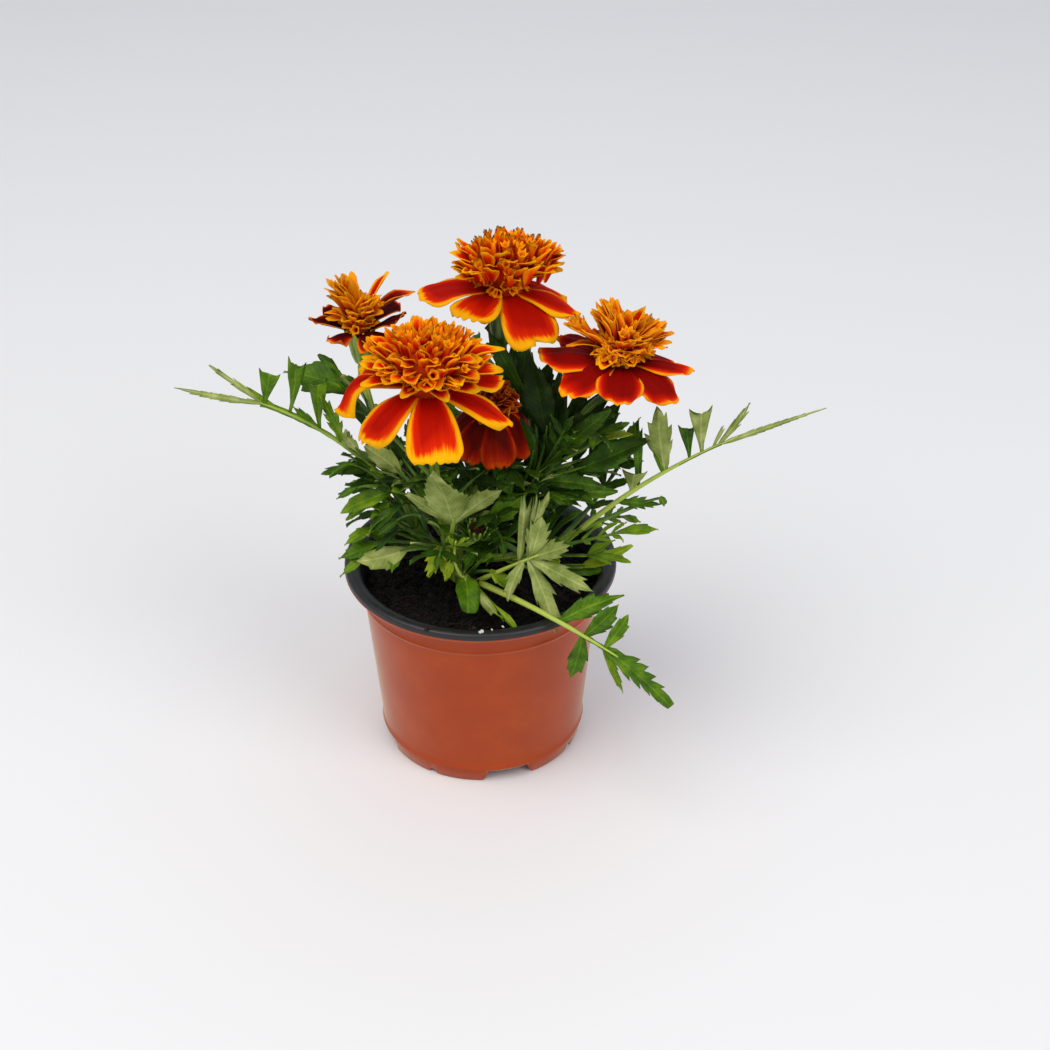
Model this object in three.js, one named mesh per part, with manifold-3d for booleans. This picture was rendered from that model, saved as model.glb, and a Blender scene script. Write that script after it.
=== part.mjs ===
// A potted French marigold: a thin round nursery pot filled with soil, and one plant with five
// flower heads, a bud and feather-cut leaves. Millimetres, +Z up, the front of the plant towards -Y.
// The origin is the centre of the pot's underside, on the surface that the pot stands on.

import * as THREE from 'three';
import { mergeVertices } from 'three/addons/utils/BufferGeometryUtils.js';
import Module from 'manifold-3d';

const wasm = await Module();
wasm.setup();

// Clearances and thicknesses
const seatGap = 0.3;        // between two pieces that touch
const leafThickness = 0.7;
const halfRib = 0.9;        // half the width of a leaf's rib
const petalThickness = 0.8;

// The pot
const pot = {
  sides: 32,
  height: 80,
  rimRadius: 52.5,
  lipDepth: 3,              // the rolled lip turns down this far
  lipInner: 47.8,
  collarRadius: 47.2,       // top of the collar, the plain band under the lip
  shoulderRadius: 46.5,     // foot of the collar, where it steps in to the wall
  shoulderDrop: 13,
  shoulderStep: 0.8,
  wallTop: 45.5,
  wall: 1,
  bandRadius: 40.4,         // top of the foot band
  bandHeight: 6.4,
  footRadius: 39.3,
  footInner: 36,
  floorUnder: 5,
  floor: 1.2,
  padRadius: 9,             // the floor's centre dips to the ground
};

// The foot's edge is notched all round, a wide notch and a narrow, low one in turn
const notch = {
  count: 8, inside: 4, firstDegrees: -74,
  wide: { width: 15.5, height: 4.5, slant: 2.4 },
  narrow: { width: 2, height: 1.6, slant: 1 },
};

// The soil
const soil = { crown: 71.5, edge: 68.5, rings: [37, 26, 14], bumps: 1.3, fall: 1.2 };

// Every stem: a smooth curve through hand-set points, with its radius at the two ends.
// A side stem starts inside the main one and is cut back to its bark.
const stems = {
  main: {
    points: [[-10, -4, 63], [-9, -3, 84], [-4, 3, 104], [4, 15, 130], [10, 23, 152], [9, 15, 167]],
    radii: [2.6, 1.5],
  },
  a: {
    points: [[-9.5, -3.5, 76], [-12, -13, 92], [-15, -19, 125], [-17, -28, 150]],
    radii: [1.8, 1.5],
  },
  c: {
    points: [[-8.6, -2.4, 86], [6, -2, 97], [21, 0, 113], [32, 2, 132], [45, -2, 150]],
    radii: [1.8, 1.4],
  },
  d: {
    points: [[-9, -3, 84], [-20, -5, 90], [-31, -4, 114], [-41, 12, 141], [-44, 20, 152]],
    radii: [1.8, 1.4],
  },
  e: { points: [[-3.6, 3.6, 105], [3, 0, 116], [5, -2, 130]], radii: [1.5, 1.3] },
  right: { points: [[-9, -3.2, 81], [8, -6, 83], [24, -8, 88], [37, -8, 96]], radii: [1.6, 1.2] },
  front: { points: [[-9.8, -3.9, 75.5], [-4, -13, 77], [0, -23, 83]], radii: [1.5, 1.2] },
};

// Every flower head: the centre of its calyx mouth, the way it faces, its crest of small florets
// (`reach` to the side, `height` over the mouth, the outermost leaning `spread` degrees from upright)
// and its rays (bearing in degrees from +X, length, width and droop at the tip).
const heads = {
  a: {
    stem: 'a', mouth: [-17, -32, 170], facing: [0.06, -0.1, 1], calyx: 15, mouthRadius: 5,
    crest: { reach: 20, height: 28, florets: 23, spread: 88 }, colour: 0xe8860c,
    rays: [[190, 30, 13, 6], [237, 30, 16, 9], [280, 31, 17, 13], [330, 31, 14, 7],
      [14, 28, 15, 8], [58, 28, 15, 9], [104, 28, 15, 9], [148, 28, 15, 8]],
  },
  b: {
    stem: 'main', mouth: [9, 12, 186], facing: [0, -0.04, 1], calyx: 15, mouthRadius: 5,
    crest: { reach: 19, height: 25, florets: 23, spread: 84 }, colour: 0xe5780f,
    rays: [[188, 29, 14, 1], [244, 27, 14, 1], [291, 28, 18, 10], [333, 28, 14, 6],
      [20, 28, 15, 6], [63, 28, 15, 6], [106, 28, 15, 6], [148, 28, 15, 4]],
  },
  c: {
    stem: 'c', mouth: [51, -5, 166], facing: [0.08, -0.06, 1], calyx: 14, mouthRadius: 4.8,
    crest: { reach: 17, height: 24, florets: 17, spread: 72 }, colour: 0xd08512,
    rays: [[186, 29, 14, 1], [227, 28, 15, 3], [266, 27, 16, 4], [304, 27, 15, 2], [342, 26, 14, 0],
      [24, 26, 14, 2], [66, 26, 14, 3], [106, 26, 14, 3], [148, 26, 14, 1]],
  },
  d: {
    stem: 'd', mouth: [-44, 22, 165], facing: [-0.1, -0.04, 1], calyx: 13, mouthRadius: 4.5,
    crest: { reach: 16, height: 22, florets: 12, spread: 62 }, colour: 0xd99a18,
    rays: [[192, 18, 8, 0], [240, 17, 9, 2], [290, 15, 10, 0], [345, 20, 8, -7],
      [35, 19, 9, -3], [90, 17, 9, 0], [142, 17, 9, 0]],
  },
  e: {
    stem: 'e', mouth: [5, -5, 146], facing: [0.1, -0.25, 1], calyx: 13, mouthRadius: 4.5,
    crest: { reach: 13, height: 15, florets: 9, spread: 78 }, colour: 0xa83a0c,
    rays: [[195, 16, 11, 12.6], [243, 19, 13, 15], [291, 19, 13, 15.4], [339, 17, 12, 16], [28, 16, 11, 12]],
  },
};

// Every leaf: the point of its stem that it springs from, a point half way along its rib, its tip,
// and the way its upper face looks. `pairs` of leaflets stand on the rib between `from` and `to`,
// the longest `size` long and `broad` times that wide, raised by `lift` degrees from the blade and
// swept `sweep` degrees forward of the rib's side; the end leaflet is `end` times its run wide. A
// leaflet's tip hangs by `sag` of its length, and its edges stand up by `fold` of their way out.
const leafDefaults = {
  up: [0, 0, 1], pairs: 3, size: 13, broad: 0.42, lift: 15, sweep: 35,
  from: 0.3, to: 0.66, end: 0.45, sag: 0.12, fold: 0.3,
};
const leaves = {
  far_left: {
    stem: 'd', base: [-31, -4, 114], mid: [-68, 2, 137], tip: [-113, 8, 148],
    pairs: 4, size: 19, broad: 0.32, lift: 52, sweep: 20, from: 0.24, to: 0.66, end: 0.14,
  },
  far_right: {
    stem: 'right', base: [37, -8, 96], mid: [76, -8, 127], tip: [126.5, -8, 151],
    pairs: 4, size: 20, broad: 0.36, lift: 50, sweep: 18, from: 0.27, to: 0.58, end: 0.1,
  },
  over_rim: {
    stem: 'front', base: [0, -23, 83], mid: [35, -52, 82], tip: [72, -64, 61],
    up: [0.2, -0.8, 0.8], pairs: 2, size: 21, broad: 0.38, lift: 5, sweep: 38,
    from: 0.47, to: 0.66, end: 0.36, sag: 0.05,
  },
  centre_pale: {
    stem: 'a', base: [-12, -11, 98], mid: [-9, -27, 116], tip: [-12, -36, 142],
    up: [0, 0.9, 0.1], pairs: 1, size: 27, broad: 0.24, lift: 10, sweep: 44, from: 0.44, to: 0.44, end: 0.52,
  },
  right_pale: {
    stem: 'front', base: [-1, -20, 81], mid: [15, -35, 100], tip: [35, -40, 113],
    up: [-0.2, 0.9, -0.3], pairs: 2, size: 25, broad: 0.3, lift: 0, sweep: 25, from: 0.4, to: 0.62, end: 0.42,
  },
  left_mid: {
    stem: 'd', base: [-27, -5, 102], mid: [-37, -9, 109], tip: [-50, -14, 106],
    up: [0, -0.3, 1], size: 13,
  },
  left_low: {
    stem: 'd', base: [-20, -5, 90], mid: [-36, -15, 92], tip: [-53, -22, 87],
    up: [0, -0.3, 1], size: 14,
  },
  upper_left: {
    stem: 'd', base: [-40, 9, 137], mid: [-57, 12, 153], tip: [-76, 18, 153],
    pairs: 2, size: 15, broad: 0.5, sweep: 40, end: 0.45, from: 0.4, to: 0.68,
  },
  c_left: {
    stem: 'c', base: [21, 0, 113], mid: [20, 12, 134], tip: [17, 14, 154],
    up: [0, -0.6, 0.5], pairs: 2, size: 15, sweep: 45,
  },
  c_right: {
    stem: 'c', base: [32, 2, 132], mid: [40, -6, 139], tip: [50, -16, 137],
    pairs: 2, size: 13, sweep: 40,
  },
  right_mid: {
    stem: 'c', base: [24, 1, 118], mid: [42, 0, 124], tip: [60, 3, 128],
    up: [0, -0.3, 1], size: 13,
  },
  right_up: {
    stem: 'right', base: [30, -8, 92], mid: [48, 6, 108], tip: [61, 9, 134],
    up: [-0.6, -0.5, 0.6], pairs: 3, size: 14,
  },
  feathery: {
    stem: 'right', base: [20, -8, 86], mid: [42, -19, 100], tip: [66, -20, 107],
    pairs: 4, size: 10, broad: 0.26,
  },
  right_rim: {
    stem: 'right', base: [12, -7, 84], mid: [34, -12, 88], tip: [57, -17, 90],
    pairs: 2, size: 13,
  },
  mid_dark_left: {
    stem: 'a', base: [-12, -13, 100], mid: [-24, -18, 110], tip: [-36, -26, 106],
    size: 10,
  },
  left_dark_high: {
    stem: 'd', base: [-30, -5, 111], mid: [-40, -14, 120], tip: [-52, -20, 119],
    size: 11,
  },
  front_dark: { stem: 'c', base: [2, -2, 95], mid: [7, -13, 99], tip: [10, -24, 96], size: 9 },
  right_fine: {
    stem: 'right', base: [35, -8, 95], mid: [48, 0, 97], tip: [62, 4, 94],
    size: 9, broad: 0.3,
  },
  c_low: { stem: 'c', base: [8, -2, 99], mid: [27, -12, 112], tip: [42, -18, 116], size: 11 },
  small_front: {
    stem: 'a', base: [-10, -6, 86], mid: [-15, -17, 95], tip: [-22, -27, 86],
    pairs: 1, size: 10, from: 0.5, to: 0.5, end: 0.5,
  },
  round_front: {
    stem: 'front', base: [-3, -15, 78], mid: [-5, -27, 87], tip: [-4, -41, 80],
    pairs: 0, from: 0.3, to: 0.42, end: 0.8,
  },
  back_left_high: { stem: 'main', base: [0, 9, 118], mid: [-20, 27, 128], tip: [-44, 42, 124] },
  back_right_high: { stem: 'main', base: [5, 17, 134], mid: [24, 34, 136], tip: [44, 46, 126] },
  back_middle: { stem: 'main', base: [-4, 3, 104], mid: [-3, 34, 116], tip: [-6, 64, 108], size: 15 },
  back_right_low: { stem: 'main', base: [-6, 0, 97], mid: [22, 24, 102], tip: [46, 44, 92] },
  back_left_low: { stem: 'd', base: [-18, -5, 88], mid: [-34, 18, 98], tip: [-50, 38, 92] },
  back_top: { stem: 'main', base: [9, 22, 147], mid: [-3, 35, 152], tip: [-17, 45, 147], size: 11 },
  back_right_mid: { stem: 'main', base: [-3, 5, 108], mid: [18, 27, 118], tip: [37, 42, 113] },
  back_left_mid: {
    stem: 'd', base: [-32, -3, 116], mid: [-41, 14, 115], tip: [-50, 31, 107],
    size: 11,
  },
  c_up: {
    stem: 'c', base: [24, 1, 119], mid: [29, -8, 134], tip: [34, -12, 148],
    up: [-0.3, -0.7, 0.4], size: 10,
  },
};

const colours = { pot: 0xa8482a, soil: 0x241a15, stem: 0x6f9330, leaf: 0x2f5f22, pale: 0x8fa36a };
const paleLeaves = ['centre_pale', 'right_pale'];

const vector = (xyz) => new THREE.Vector3(...xyz);
const radians = THREE.MathUtils.degToRad;

// Draws that are the same on every run
function seededDraw(seed) {
  let state = seed;
  return () => {
    state = (state * 1664525 + 1013904223) % 4294967296;
    return state / 4294967296;
  };
}

// A ray's half outline, as shares of its length and width, with the notch in its tip
const rayStations = [[0, 0.26], [0.4, 0.66], [0.78, 1], [1, 0.7]];
const tipNotch = 0.05;
const rayRise = { foot: 1.2, arch: 1.6, edges: 1.4 };

// A crest floret: a flat fan on a narrow foot, as wide and as thick as a real tuft of them
const floret = { tipRadius: 3.6, footRadius: 1.1, wide: 1.2, flat: 0.75, share: 0.6, from: 0.7, centre: 0.25 };
const crestCore = { reach: 0.5, height: 0.3 };

// A leaflet's half outline: how far along it and how far out, ending short of its tip
const leafletSide = [[0.26, 0.38], [0.52, 0.5], [0.58, 0.34]];
const endSide = [[0.22, 0.24], [0.45, 0.5], [0.52, 0.34], [0.7, 0.4], [0.75, 0.22]];

// A closed geometry as a solid for joins and cuts, and back again
function toSolid(geometry) {
  const bare = geometry.clone();
  bare.deleteAttribute('normal');
  bare.deleteAttribute('uv');
  const merged = mergeVertices(bare, 1e-4);
  const corners = merged.index.array;
  const kept = [];
  for (let i = 0; i < corners.length; i += 3) {
    const [a, b, c] = [corners[i], corners[i + 1], corners[i + 2]];
    if (a !== b && b !== c && c !== a) kept.push(a, b, c);
  }
  const mesh = new wasm.Mesh({
    numProp: 3,
    vertProperties: Float32Array.from(merged.attributes.position.array),
    triVerts: Uint32Array.from(kept),
  });
  return new wasm.Manifold(mesh);
}

function toGeometry(solid) {
  const mesh = solid.getMesh();
  const geometry = new THREE.BufferGeometry();
  geometry.setAttribute('position', new THREE.BufferAttribute(mesh.vertProperties, 3));
  geometry.setIndex(new THREE.BufferAttribute(mesh.triVerts, 1));
  return geometry;
}

const join = (solids) => solids.reduce((whole, next) => whole.add(next));

// A sheet of triangles given its thickness: the same triangles on both faces, and a wall round
// every free edge. The triangles are wound to face the way their corners' normals point.
function thicken(points, normals, triangles, thickness) {
  const count = points.length;
  const positions = [];
  for (const side of [0.5, -0.5]) {
    points.forEach((point, i) => {
      positions.push(...point.clone().addScaledVector(normals[i], side * thickness).toArray());
    });
  }
  const index = [];
  const edges = new Set();
  for (const [p, q, r] of triangles) {
    index.push(p, q, r, p + count, r + count, q + count);
    for (const edge of [[p, q], [q, r], [r, p]]) edges.add(edge.join());
  }
  for (const edge of edges) {
    const [p, q] = edge.split(',').map(Number);
    if (!edges.has([q, p].join())) index.push(q, p, p + count, q, p + count, q + count);
  }
  const geometry = new THREE.BufferGeometry();
  geometry.setAttribute('position', new THREE.Float32BufferAttribute(positions, 3));
  geometry.setIndex(index);
  return geometry;
}

// A tapered round stem along a curve
function stemGeometry({ points, radii }, extra = 0, sides = 6) {
  const curve = new THREE.CatmullRomCurve3(points.map(vector));
  const steps = 2 * (points.length - 1);
  const geometry = new THREE.CylinderGeometry(1, 1, 1, sides, steps);
  const frames = curve.computeFrenetFrames(steps);
  const position = geometry.attributes.position;
  for (let i = 0; i < position.count; i += 1) {
    const along = position.getY(i) + 0.5;
    const step = Math.round(along * steps);
    const radius = THREE.MathUtils.lerp(radii[0], radii[1], along) + extra;
    const point = curve.getPointAt(step / steps)
      .addScaledVector(frames.normals[step], position.getZ(i) * radius)
      .addScaledVector(frames.binormals[step], position.getX(i) * radius);
    position.setXYZ(i, point.x, point.y, point.z);
  }
  return geometry;
}

// How much the calyx's foot stands out round the end of its stem
const calyxCollar = 0.4;

// The green cup that holds a head: from the stem's end up to the calyx mouth
function calyxGeometry({ mouth, facing, calyx, mouthRadius }, stemRadius, sides = 9) {
  const profile = [
    [0, -calyx - 1], [stemRadius, -calyx - 1], [mouthRadius * 0.72, -calyx * 0.72],
    [mouthRadius * 0.86, -calyx * 0.3], [mouthRadius, 0], [0, 0],
  ];
  const geometry = new THREE.LatheGeometry(profile.map(([r, z]) => new THREE.Vector2(r, z)), sides);
  geometry.rotateX(Math.PI / 2);
  return place(geometry, mouth, facing);
}

// A flowering stem carried on into the foot of its calyx
function intoCalyx({ points, radii }, { mouth, facing, calyx }) {
  const foot = vector(mouth).addScaledVector(vector(facing).normalize(), -calyx);
  return { points: [...points, foot.toArray()], radii };
}

function place(geometry, at, facing) {
  const upright = new THREE.Vector3(0, 0, 1);
  const turn = new THREE.Quaternion().setFromUnitVectors(upright, vector(facing).normalize());
  return geometry.applyQuaternion(turn).translate(...at);
}

// One broad ray: narrow at its root, widest near the tip, with a shallow notch at the tip. It
// rises a little out of the head, then droops, and its sides hang lower than its middle.
function rayGeometry([bearing, length, width, droop], rootRadius) {
  const sheet = new THREE.PlaneGeometry(1, 1, 2, rayStations.length - 1);
  const index = Array.from(sheet.index.array);
  const direction = new THREE.Vector3(Math.cos(radians(bearing)), Math.sin(radians(bearing)), 0);
  const across = new THREE.Vector3(-direction.y, direction.x, 0);
  const points = [];
  rayStations.forEach(([u, broad]) => {
    for (const side of [-1, 0, 1]) {
      const notchDepth = u === 1 && side === 0 ? tipNotch : 0;
      const run = rootRadius + (length - rootRadius) * (u - notchDepth);
      const arch = rayRise.arch * Math.sin(Math.PI * Math.min(u, 0.7));
      const height = rayRise.foot + arch - droop * u ** 1.6 - Math.abs(side) * rayRise.edges * u;
      points.push(direction.clone().multiplyScalar(run)
        .addScaledVector(across, side * broad * width / 2)
        .add(new THREE.Vector3(0, 0, height)));
    }
  });
  const triangles = [];
  for (let i = 0; i < index.length; i += 3) triangles.push([index[i], index[i + 1], index[i + 2]]);
  const normals = points.map((point, i) => {
    const row = Math.floor(i / 3);
    const next = points[Math.min(row + 1, rayStations.length - 1) * 3 + 1];
    const last = points[Math.max(row - 1, 0) * 3 + 1];
    return across.clone().cross(next.clone().sub(last)).normalize().negate();
  });
  return thicken(points, normals, triangles, petalThickness);
}

// The crest: a smaller core that a spiral of flat flared fans of florets stands out of
function crestSolids({ reach, height, florets, spread }, draw) {
  const core = new THREE.SphereGeometry(1, 7, 4);
  core.rotateX(Math.PI / 2);
  core.scale(reach * crestCore.reach, reach * crestCore.reach, height * crestCore.height);
  core.translate(0, 0, height * crestCore.height);
  const solids = [toSolid(core)];
  const goldenAngle = Math.PI * (3 - Math.sqrt(5));
  const centre = height * floret.centre;
  for (let i = 0; i < florets; i += 1) {
    const outward = Math.sqrt((i + 0.5) / florets);                // 0 at the top, 1 at the edge
    const length = THREE.MathUtils.lerp(height - centre, reach, outward) * (0.9 + 0.14 * draw());
    const fan = new THREE.CylinderGeometry(floret.tipRadius, floret.footRadius, length * floret.share, 3, 1);
    fan.scale(floret.wide, 1, floret.flat);
    fan.translate(0, length * floret.from, 0);
    fan.rotateX(Math.PI / 2);
    fan.rotateY(outward * radians(spread));
    fan.rotateZ(i * goldenAngle);
    fan.translate(0, 0, centre);
    solids.push(toSolid(fan));
  }
  return solids;
}

function headSolid(head, seed) {
  const draw = seededDraw(seed);
  const neckHeight = 4;
  const neck = new THREE.CylinderGeometry(head.mouthRadius * 0.95, head.mouthRadius * 0.8, neckHeight, 8);
  neck.rotateX(Math.PI / 2);
  neck.translate(0, 0, neckHeight / 2 + seatGap);
  const rays = head.rays.map((ray) => toSolid(rayGeometry(ray, head.mouthRadius * 0.6)));
  const whole = join([toSolid(neck), ...rays, ...crestSolids(head.crest, draw)]);
  return toSolid(place(toGeometry(whole), head.mouth, head.facing));
}

// A direction turned by some degrees towards another that stands square to it
function turned(direction, towards, degrees) {
  return direction.clone().multiplyScalar(Math.cos(radians(degrees)))
    .addScaledVector(towards, Math.sin(radians(degrees)));
}

// The direction frame of a leaf's rib at t: along it, across the blade, and out of its upper face
function ribFrame(rib, t, up) {
  const along = rib.getTangent(t).normalize();
  const across = up.clone().cross(along).normalize();
  return { point: rib.getPoint(t), along, across, out: along.clone().cross(across) };
}

// One leaf as a thin blade cut to its rib: a narrow strip along the rib, a leaflet on each side
// at every pair, and an end leaflet. Every leaflet is folded a little along its own middle.
function leafGeometry(leaf, root) {
  const { up, pairs, size, broad, lift, sweep, from, to, end, sag, fold } = leaf;
  const tip = vector(leaf.tip);
  const ends = root.clone().add(tip).multiplyScalar(0.5);
  const rib = new THREE.QuadraticBezierCurve3(root, vector(leaf.mid).multiplyScalar(2).sub(ends), tip);
  const runLength = rib.getLength();
  const upward = vector(up);
  const pitch = pairs > 1 ? (to - from) * runLength / (pairs - 1) : size;
  const widest = Math.min(size * broad, 0.85 * pitch * Math.cos(radians(sweep)));
  const footing = widest * 0.34;                  // length of rib that a leaflet stands on
  const stalk = 2;                                // rib between the last pair and the end leaflet
  const longest = (along) => size * (0.72 + 0.28 * Math.sin(Math.PI * (0.25 + 0.6 * along)));
  const points = [];
  const normals = [];
  const triangles = [];
  const add = (point, normal) => {
    points.push(point);
    normals.push(normal);
    return points.length - 1;
  };

  const stations = [0];
  for (let i = 0; i < pairs; i += 1) {
    const t = pairs > 1 ? from + (to - from) * i / (pairs - 1) : (from + to) / 2;
    stations.push(t - footing / 2 / runLength, t + footing / 2 / runLength);
  }
  const last = Math.max(to, from) + (footing / 2 + stalk) / runLength;
  stations.push(last);
  const strip = stations.map((t) => {
    const frame = ribFrame(rib, t, upward);
    const edge = (side) => frame.point.clone().addScaledVector(frame.across, side * halfRib);
    return { frame, left: add(edge(-1), frame.out.clone()), right: add(edge(1), frame.out.clone()) };
  });
  for (let i = 1; i < strip.length; i += 1) {
    const [a, b] = [strip[i - 1], strip[i]];
    triangles.push([a.left, b.right, a.right], [a.left, b.left, b.right]);
  }

  const leaflet = (foot, origin, ahead, aside, out, length, width, half) => {
    const mirrored = ahead.clone().cross(aside).dot(out) < 0;
    const at = (a, b) => {
      const point = origin.clone().addScaledVector(ahead, a * length).addScaledVector(aside, b * width);
      return add(point.addScaledVector(out, Math.abs(b) * width * fold - sag * length * a * a), out.clone());
    };
    const middle = at(0.5, 0);
    const point = at(1, 0);
    for (const side of [-1, 1]) {
      const flat = [[0, 0.2], ...half, [1, 0], [0.5, 0]].map(([a, b]) => new THREE.Vector2(a, side * b));
      const corners = [foot[(side + 1) / 2], ...half.map(([a, b]) => at(a, side * b)), point, middle];
      for (const face of THREE.ShapeUtils.triangulateShape(flat, [])) {
        const upright = THREE.ShapeUtils.area(face.map((k) => flat[k])) > 0;
        const facing = upright === mirrored ? face.toReversed() : face;
        triangles.push(facing.map((k) => corners[k]));
      }
    }
    triangles.push(mirrored ? [foot[0], foot[1], middle] : [foot[1], foot[0], middle]);
  };

  for (let i = 0; i < pairs; i += 1) {
    const [a, b] = [strip[2 * i + 1], strip[2 * i + 2]];
    const length = longest(pairs > 1 ? i / (pairs - 1) : 0.5);
    const middle = (stations[2 * i + 1] + stations[2 * i + 2]) / 2;
    const { point, along, across, out } = ribFrame(rib, middle, upward);
    for (const side of [-1, 1]) {
      const outward = turned(across.clone().multiplyScalar(side), out, lift);
      const face = turned(out, across.clone().multiplyScalar(-side), lift);
      const ahead = turned(outward, along, sweep);
      const aside = turned(along, outward.clone().negate(), sweep);
      const origin = point.clone().addScaledVector(across, side * halfRib);
      const foot = side > 0 ? [a.right, b.right] : [a.left, b.left];
      for (const corner of foot) normals[corner].add(face).normalize();
      leaflet(foot, origin, ahead, aside, face, length, widest * length / size, leafletSide);
    }
  }
  const final = strip[strip.length - 1];
  const { point: origin, across, out } = final.frame;
  const run = origin.distanceTo(tip);
  const ahead = tip.clone().sub(origin).normalize();
  const endWidth = Math.max(run * end, 5 * halfRib);
  leaflet([final.left, final.right], origin, ahead, across, out, run, endWidth, endSide);
  return thicken(points, normals, triangles, leafThickness);
}

// Where a leaf leaves its stem: just clear of the bark, on the side that its rib heads for
function leafRoot(leaf) {
  const { points, radii } = stems[leaf.stem];
  const curve = new THREE.CatmullRomCurve3(points.map(vector));
  const wanted = vector(leaf.base);
  let best = 0;
  for (let t = 0; t <= 1; t += 0.01) {
    if (curve.getPointAt(t).distanceTo(wanted) < curve.getPointAt(best).distanceTo(wanted)) best = t;
  }
  const axis = curve.getPointAt(best);
  const along = curve.getTangentAt(best);
  const heading = vector(leaf.mid).sub(axis);
  if (best < 0.99) heading.addScaledVector(along, -heading.dot(along));
  heading.normalize();
  const radius = THREE.MathUtils.lerp(radii[0], radii[1], best);
  const rib = vector(leaf.mid).sub(axis).normalize();
  const across = vector(leaf.up).cross(rib).normalize();
  const out = rib.cross(across);
  const corner = halfRib * Math.abs(across.dot(heading)) + leafThickness / 2 * Math.abs(out.dot(heading));
  return axis.addScaledVector(heading, radius + seatGap + corner);
}

// The pot: one turned wall with a rolled lip, a shoulder and a foot, then notched round its foot
function potSolid() {
  const p = pot;
  const inside = p.floorUnder + p.floor;
  const shoulder = p.height - p.shoulderDrop;
  const profile = [
    [0, 0], [p.padRadius, 0], [p.padRadius + 1, p.floorUnder], [p.footInner - 0.6, p.floorUnder],
    [p.footInner, 0], [p.footRadius, 0], [p.bandRadius, p.bandHeight],
    [p.wallTop, shoulder - p.shoulderStep], [p.shoulderRadius, shoulder],
    [p.collarRadius, p.height - p.lipDepth],
    [p.rimRadius - 0.7, p.height - p.lipDepth - 0.6], [p.rimRadius, p.height - p.lipDepth],
    [p.rimRadius, p.height - 0.7], [p.rimRadius - 0.9, p.height], [p.lipInner, p.height - 0.8],
    [p.lipInner - 1.6, p.height - 2.4], [p.shoulderRadius - p.wall, shoulder + 0.2],
    [p.wallTop - p.wall, shoulder - p.shoulderStep - 0.1], [p.bandRadius - p.wall, inside], [0, inside],
  ];
  const turned = new THREE.LatheGeometry(profile.map(([r, z]) => new THREE.Vector2(r, z)), p.sides);
  turned.rotateX(Math.PI / 2);
  let solid = toSolid(turned);
  for (let i = 0; i < notch.count; i += 1) {
    const { width, height, slant } = i % 2 ? notch.narrow : notch.wide;
    const below = 1;
    const foot = width / 2 + slant * (height + below) / height;
    const outline = new THREE.Shape([
      new THREE.Vector2(-foot, -below), new THREE.Vector2(foot, -below),
      new THREE.Vector2(width / 2, height), new THREE.Vector2(-width / 2, height),
    ]);
    const start = p.footInner - notch.inside;
    const cutter = new THREE.ExtrudeGeometry(outline, { depth: p.rimRadius - start, bevelEnabled: false });
    cutter.rotateX(Math.PI / 2);
    cutter.rotateZ(Math.PI);
    cutter.translate(0, start, 0);
    cutter.rotateZ(radians(notch.firstDegrees - 90 + i * 360 / notch.count));
    solid = solid.subtract(toSolid(cutter));
  }
  return solid;
}

// The soil: it fills the pot, with a crumbly mound on top and a plain hole for the main stem
function soilSolid() {
  const inside = pot.floorUnder + pot.floor + seatGap;
  const slope = (pot.wallTop - pot.bandRadius) / (pot.height - pot.shoulderDrop - pot.bandHeight);
  const wallAt = (z) => pot.bandRadius - pot.wall - seatGap + slope * (z - inside) * 0.99;
  const profile = [[0, inside], [wallAt(inside), inside], [wallAt(soil.edge), soil.edge]];
  soil.rings.forEach((radius) => profile.push([radius, soil.crown]));
  profile.push([0, soil.crown]);
  const mound = new THREE.LatheGeometry(profile.map(([r, z]) => new THREE.Vector2(r, z)), pot.sides);
  mound.rotateX(Math.PI / 2);
  const position = mound.attributes.position;
  for (let i = 0; i < position.count; i += 1) {
    const [x, y, z] = [position.getX(i), position.getY(i), position.getZ(i)];
    const outward = Math.hypot(x, y) / soil.rings[0];
    const bump = Math.sin(x * 0.9 + 1.3 * Math.sin(y * 0.5)) + Math.cos(y * 1.1 + 0.7 * Math.sin(x * 0.4));
    if (z > soil.edge) position.setZ(i, z + soil.bumps * bump / 2 - soil.fall * outward ** 2);
  }
  return toSolid(mound).subtract(toSolid(stemGeometry(stems.main, seatGap)));
}

// A small closed bud on its stalk, with green bracts round a dark centre
function budSolid() {
  const stalk = { points: [[-11.5, -10.5, 95], [-6, -17, 96], [-1.5, -21, 101]], radii: [1.1, 1] };
  const cup = { mouth: [-0.5, -22, 106], facing: [0.15, -0.35, 1], calyx: 5, mouthRadius: 3.4 };
  const centre = new THREE.SphereGeometry(2.9, 8, 5);
  centre.translate(...cup.mouth);
  return join([toSolid(stemGeometry(stalk)), toSolid(calyxGeometry(cup, 1, 8)), toSolid(centre)])
    .subtract(toSolid(stemGeometry(stems.a, seatGap)));
}

const model = new THREE.Group();

function addPart(name, geometry, colour, roughness = 0.6) {
  const material = new THREE.MeshStandardMaterial({ color: colour, roughness, metalness: 0 });
  const mesh = new THREE.Mesh(geometry, material);
  mesh.name = name;
  model.add(mesh);
}

addPart('pot', toGeometry(potSolid()), colours.pot, 0.45);
addPart('soil', toGeometry(soilSolid()), colours.soil, 0.95);

for (const [name, stem] of Object.entries(stems)) {
  const head = Object.values(heads).find((one) => one.stem === name);
  let solid = toSolid(stemGeometry(stem));
  if (head) {
    const whole = toSolid(stemGeometry(intoCalyx(stem, head)));
    solid = whole.add(toSolid(calyxGeometry(head, stem.radii[1] + calyxCollar)));
  }
  if (name !== 'main') solid = solid.subtract(toSolid(stemGeometry(stems.main, seatGap)));
  addPart(`stem_${name}`, toGeometry(solid), colours.stem);
}

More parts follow.
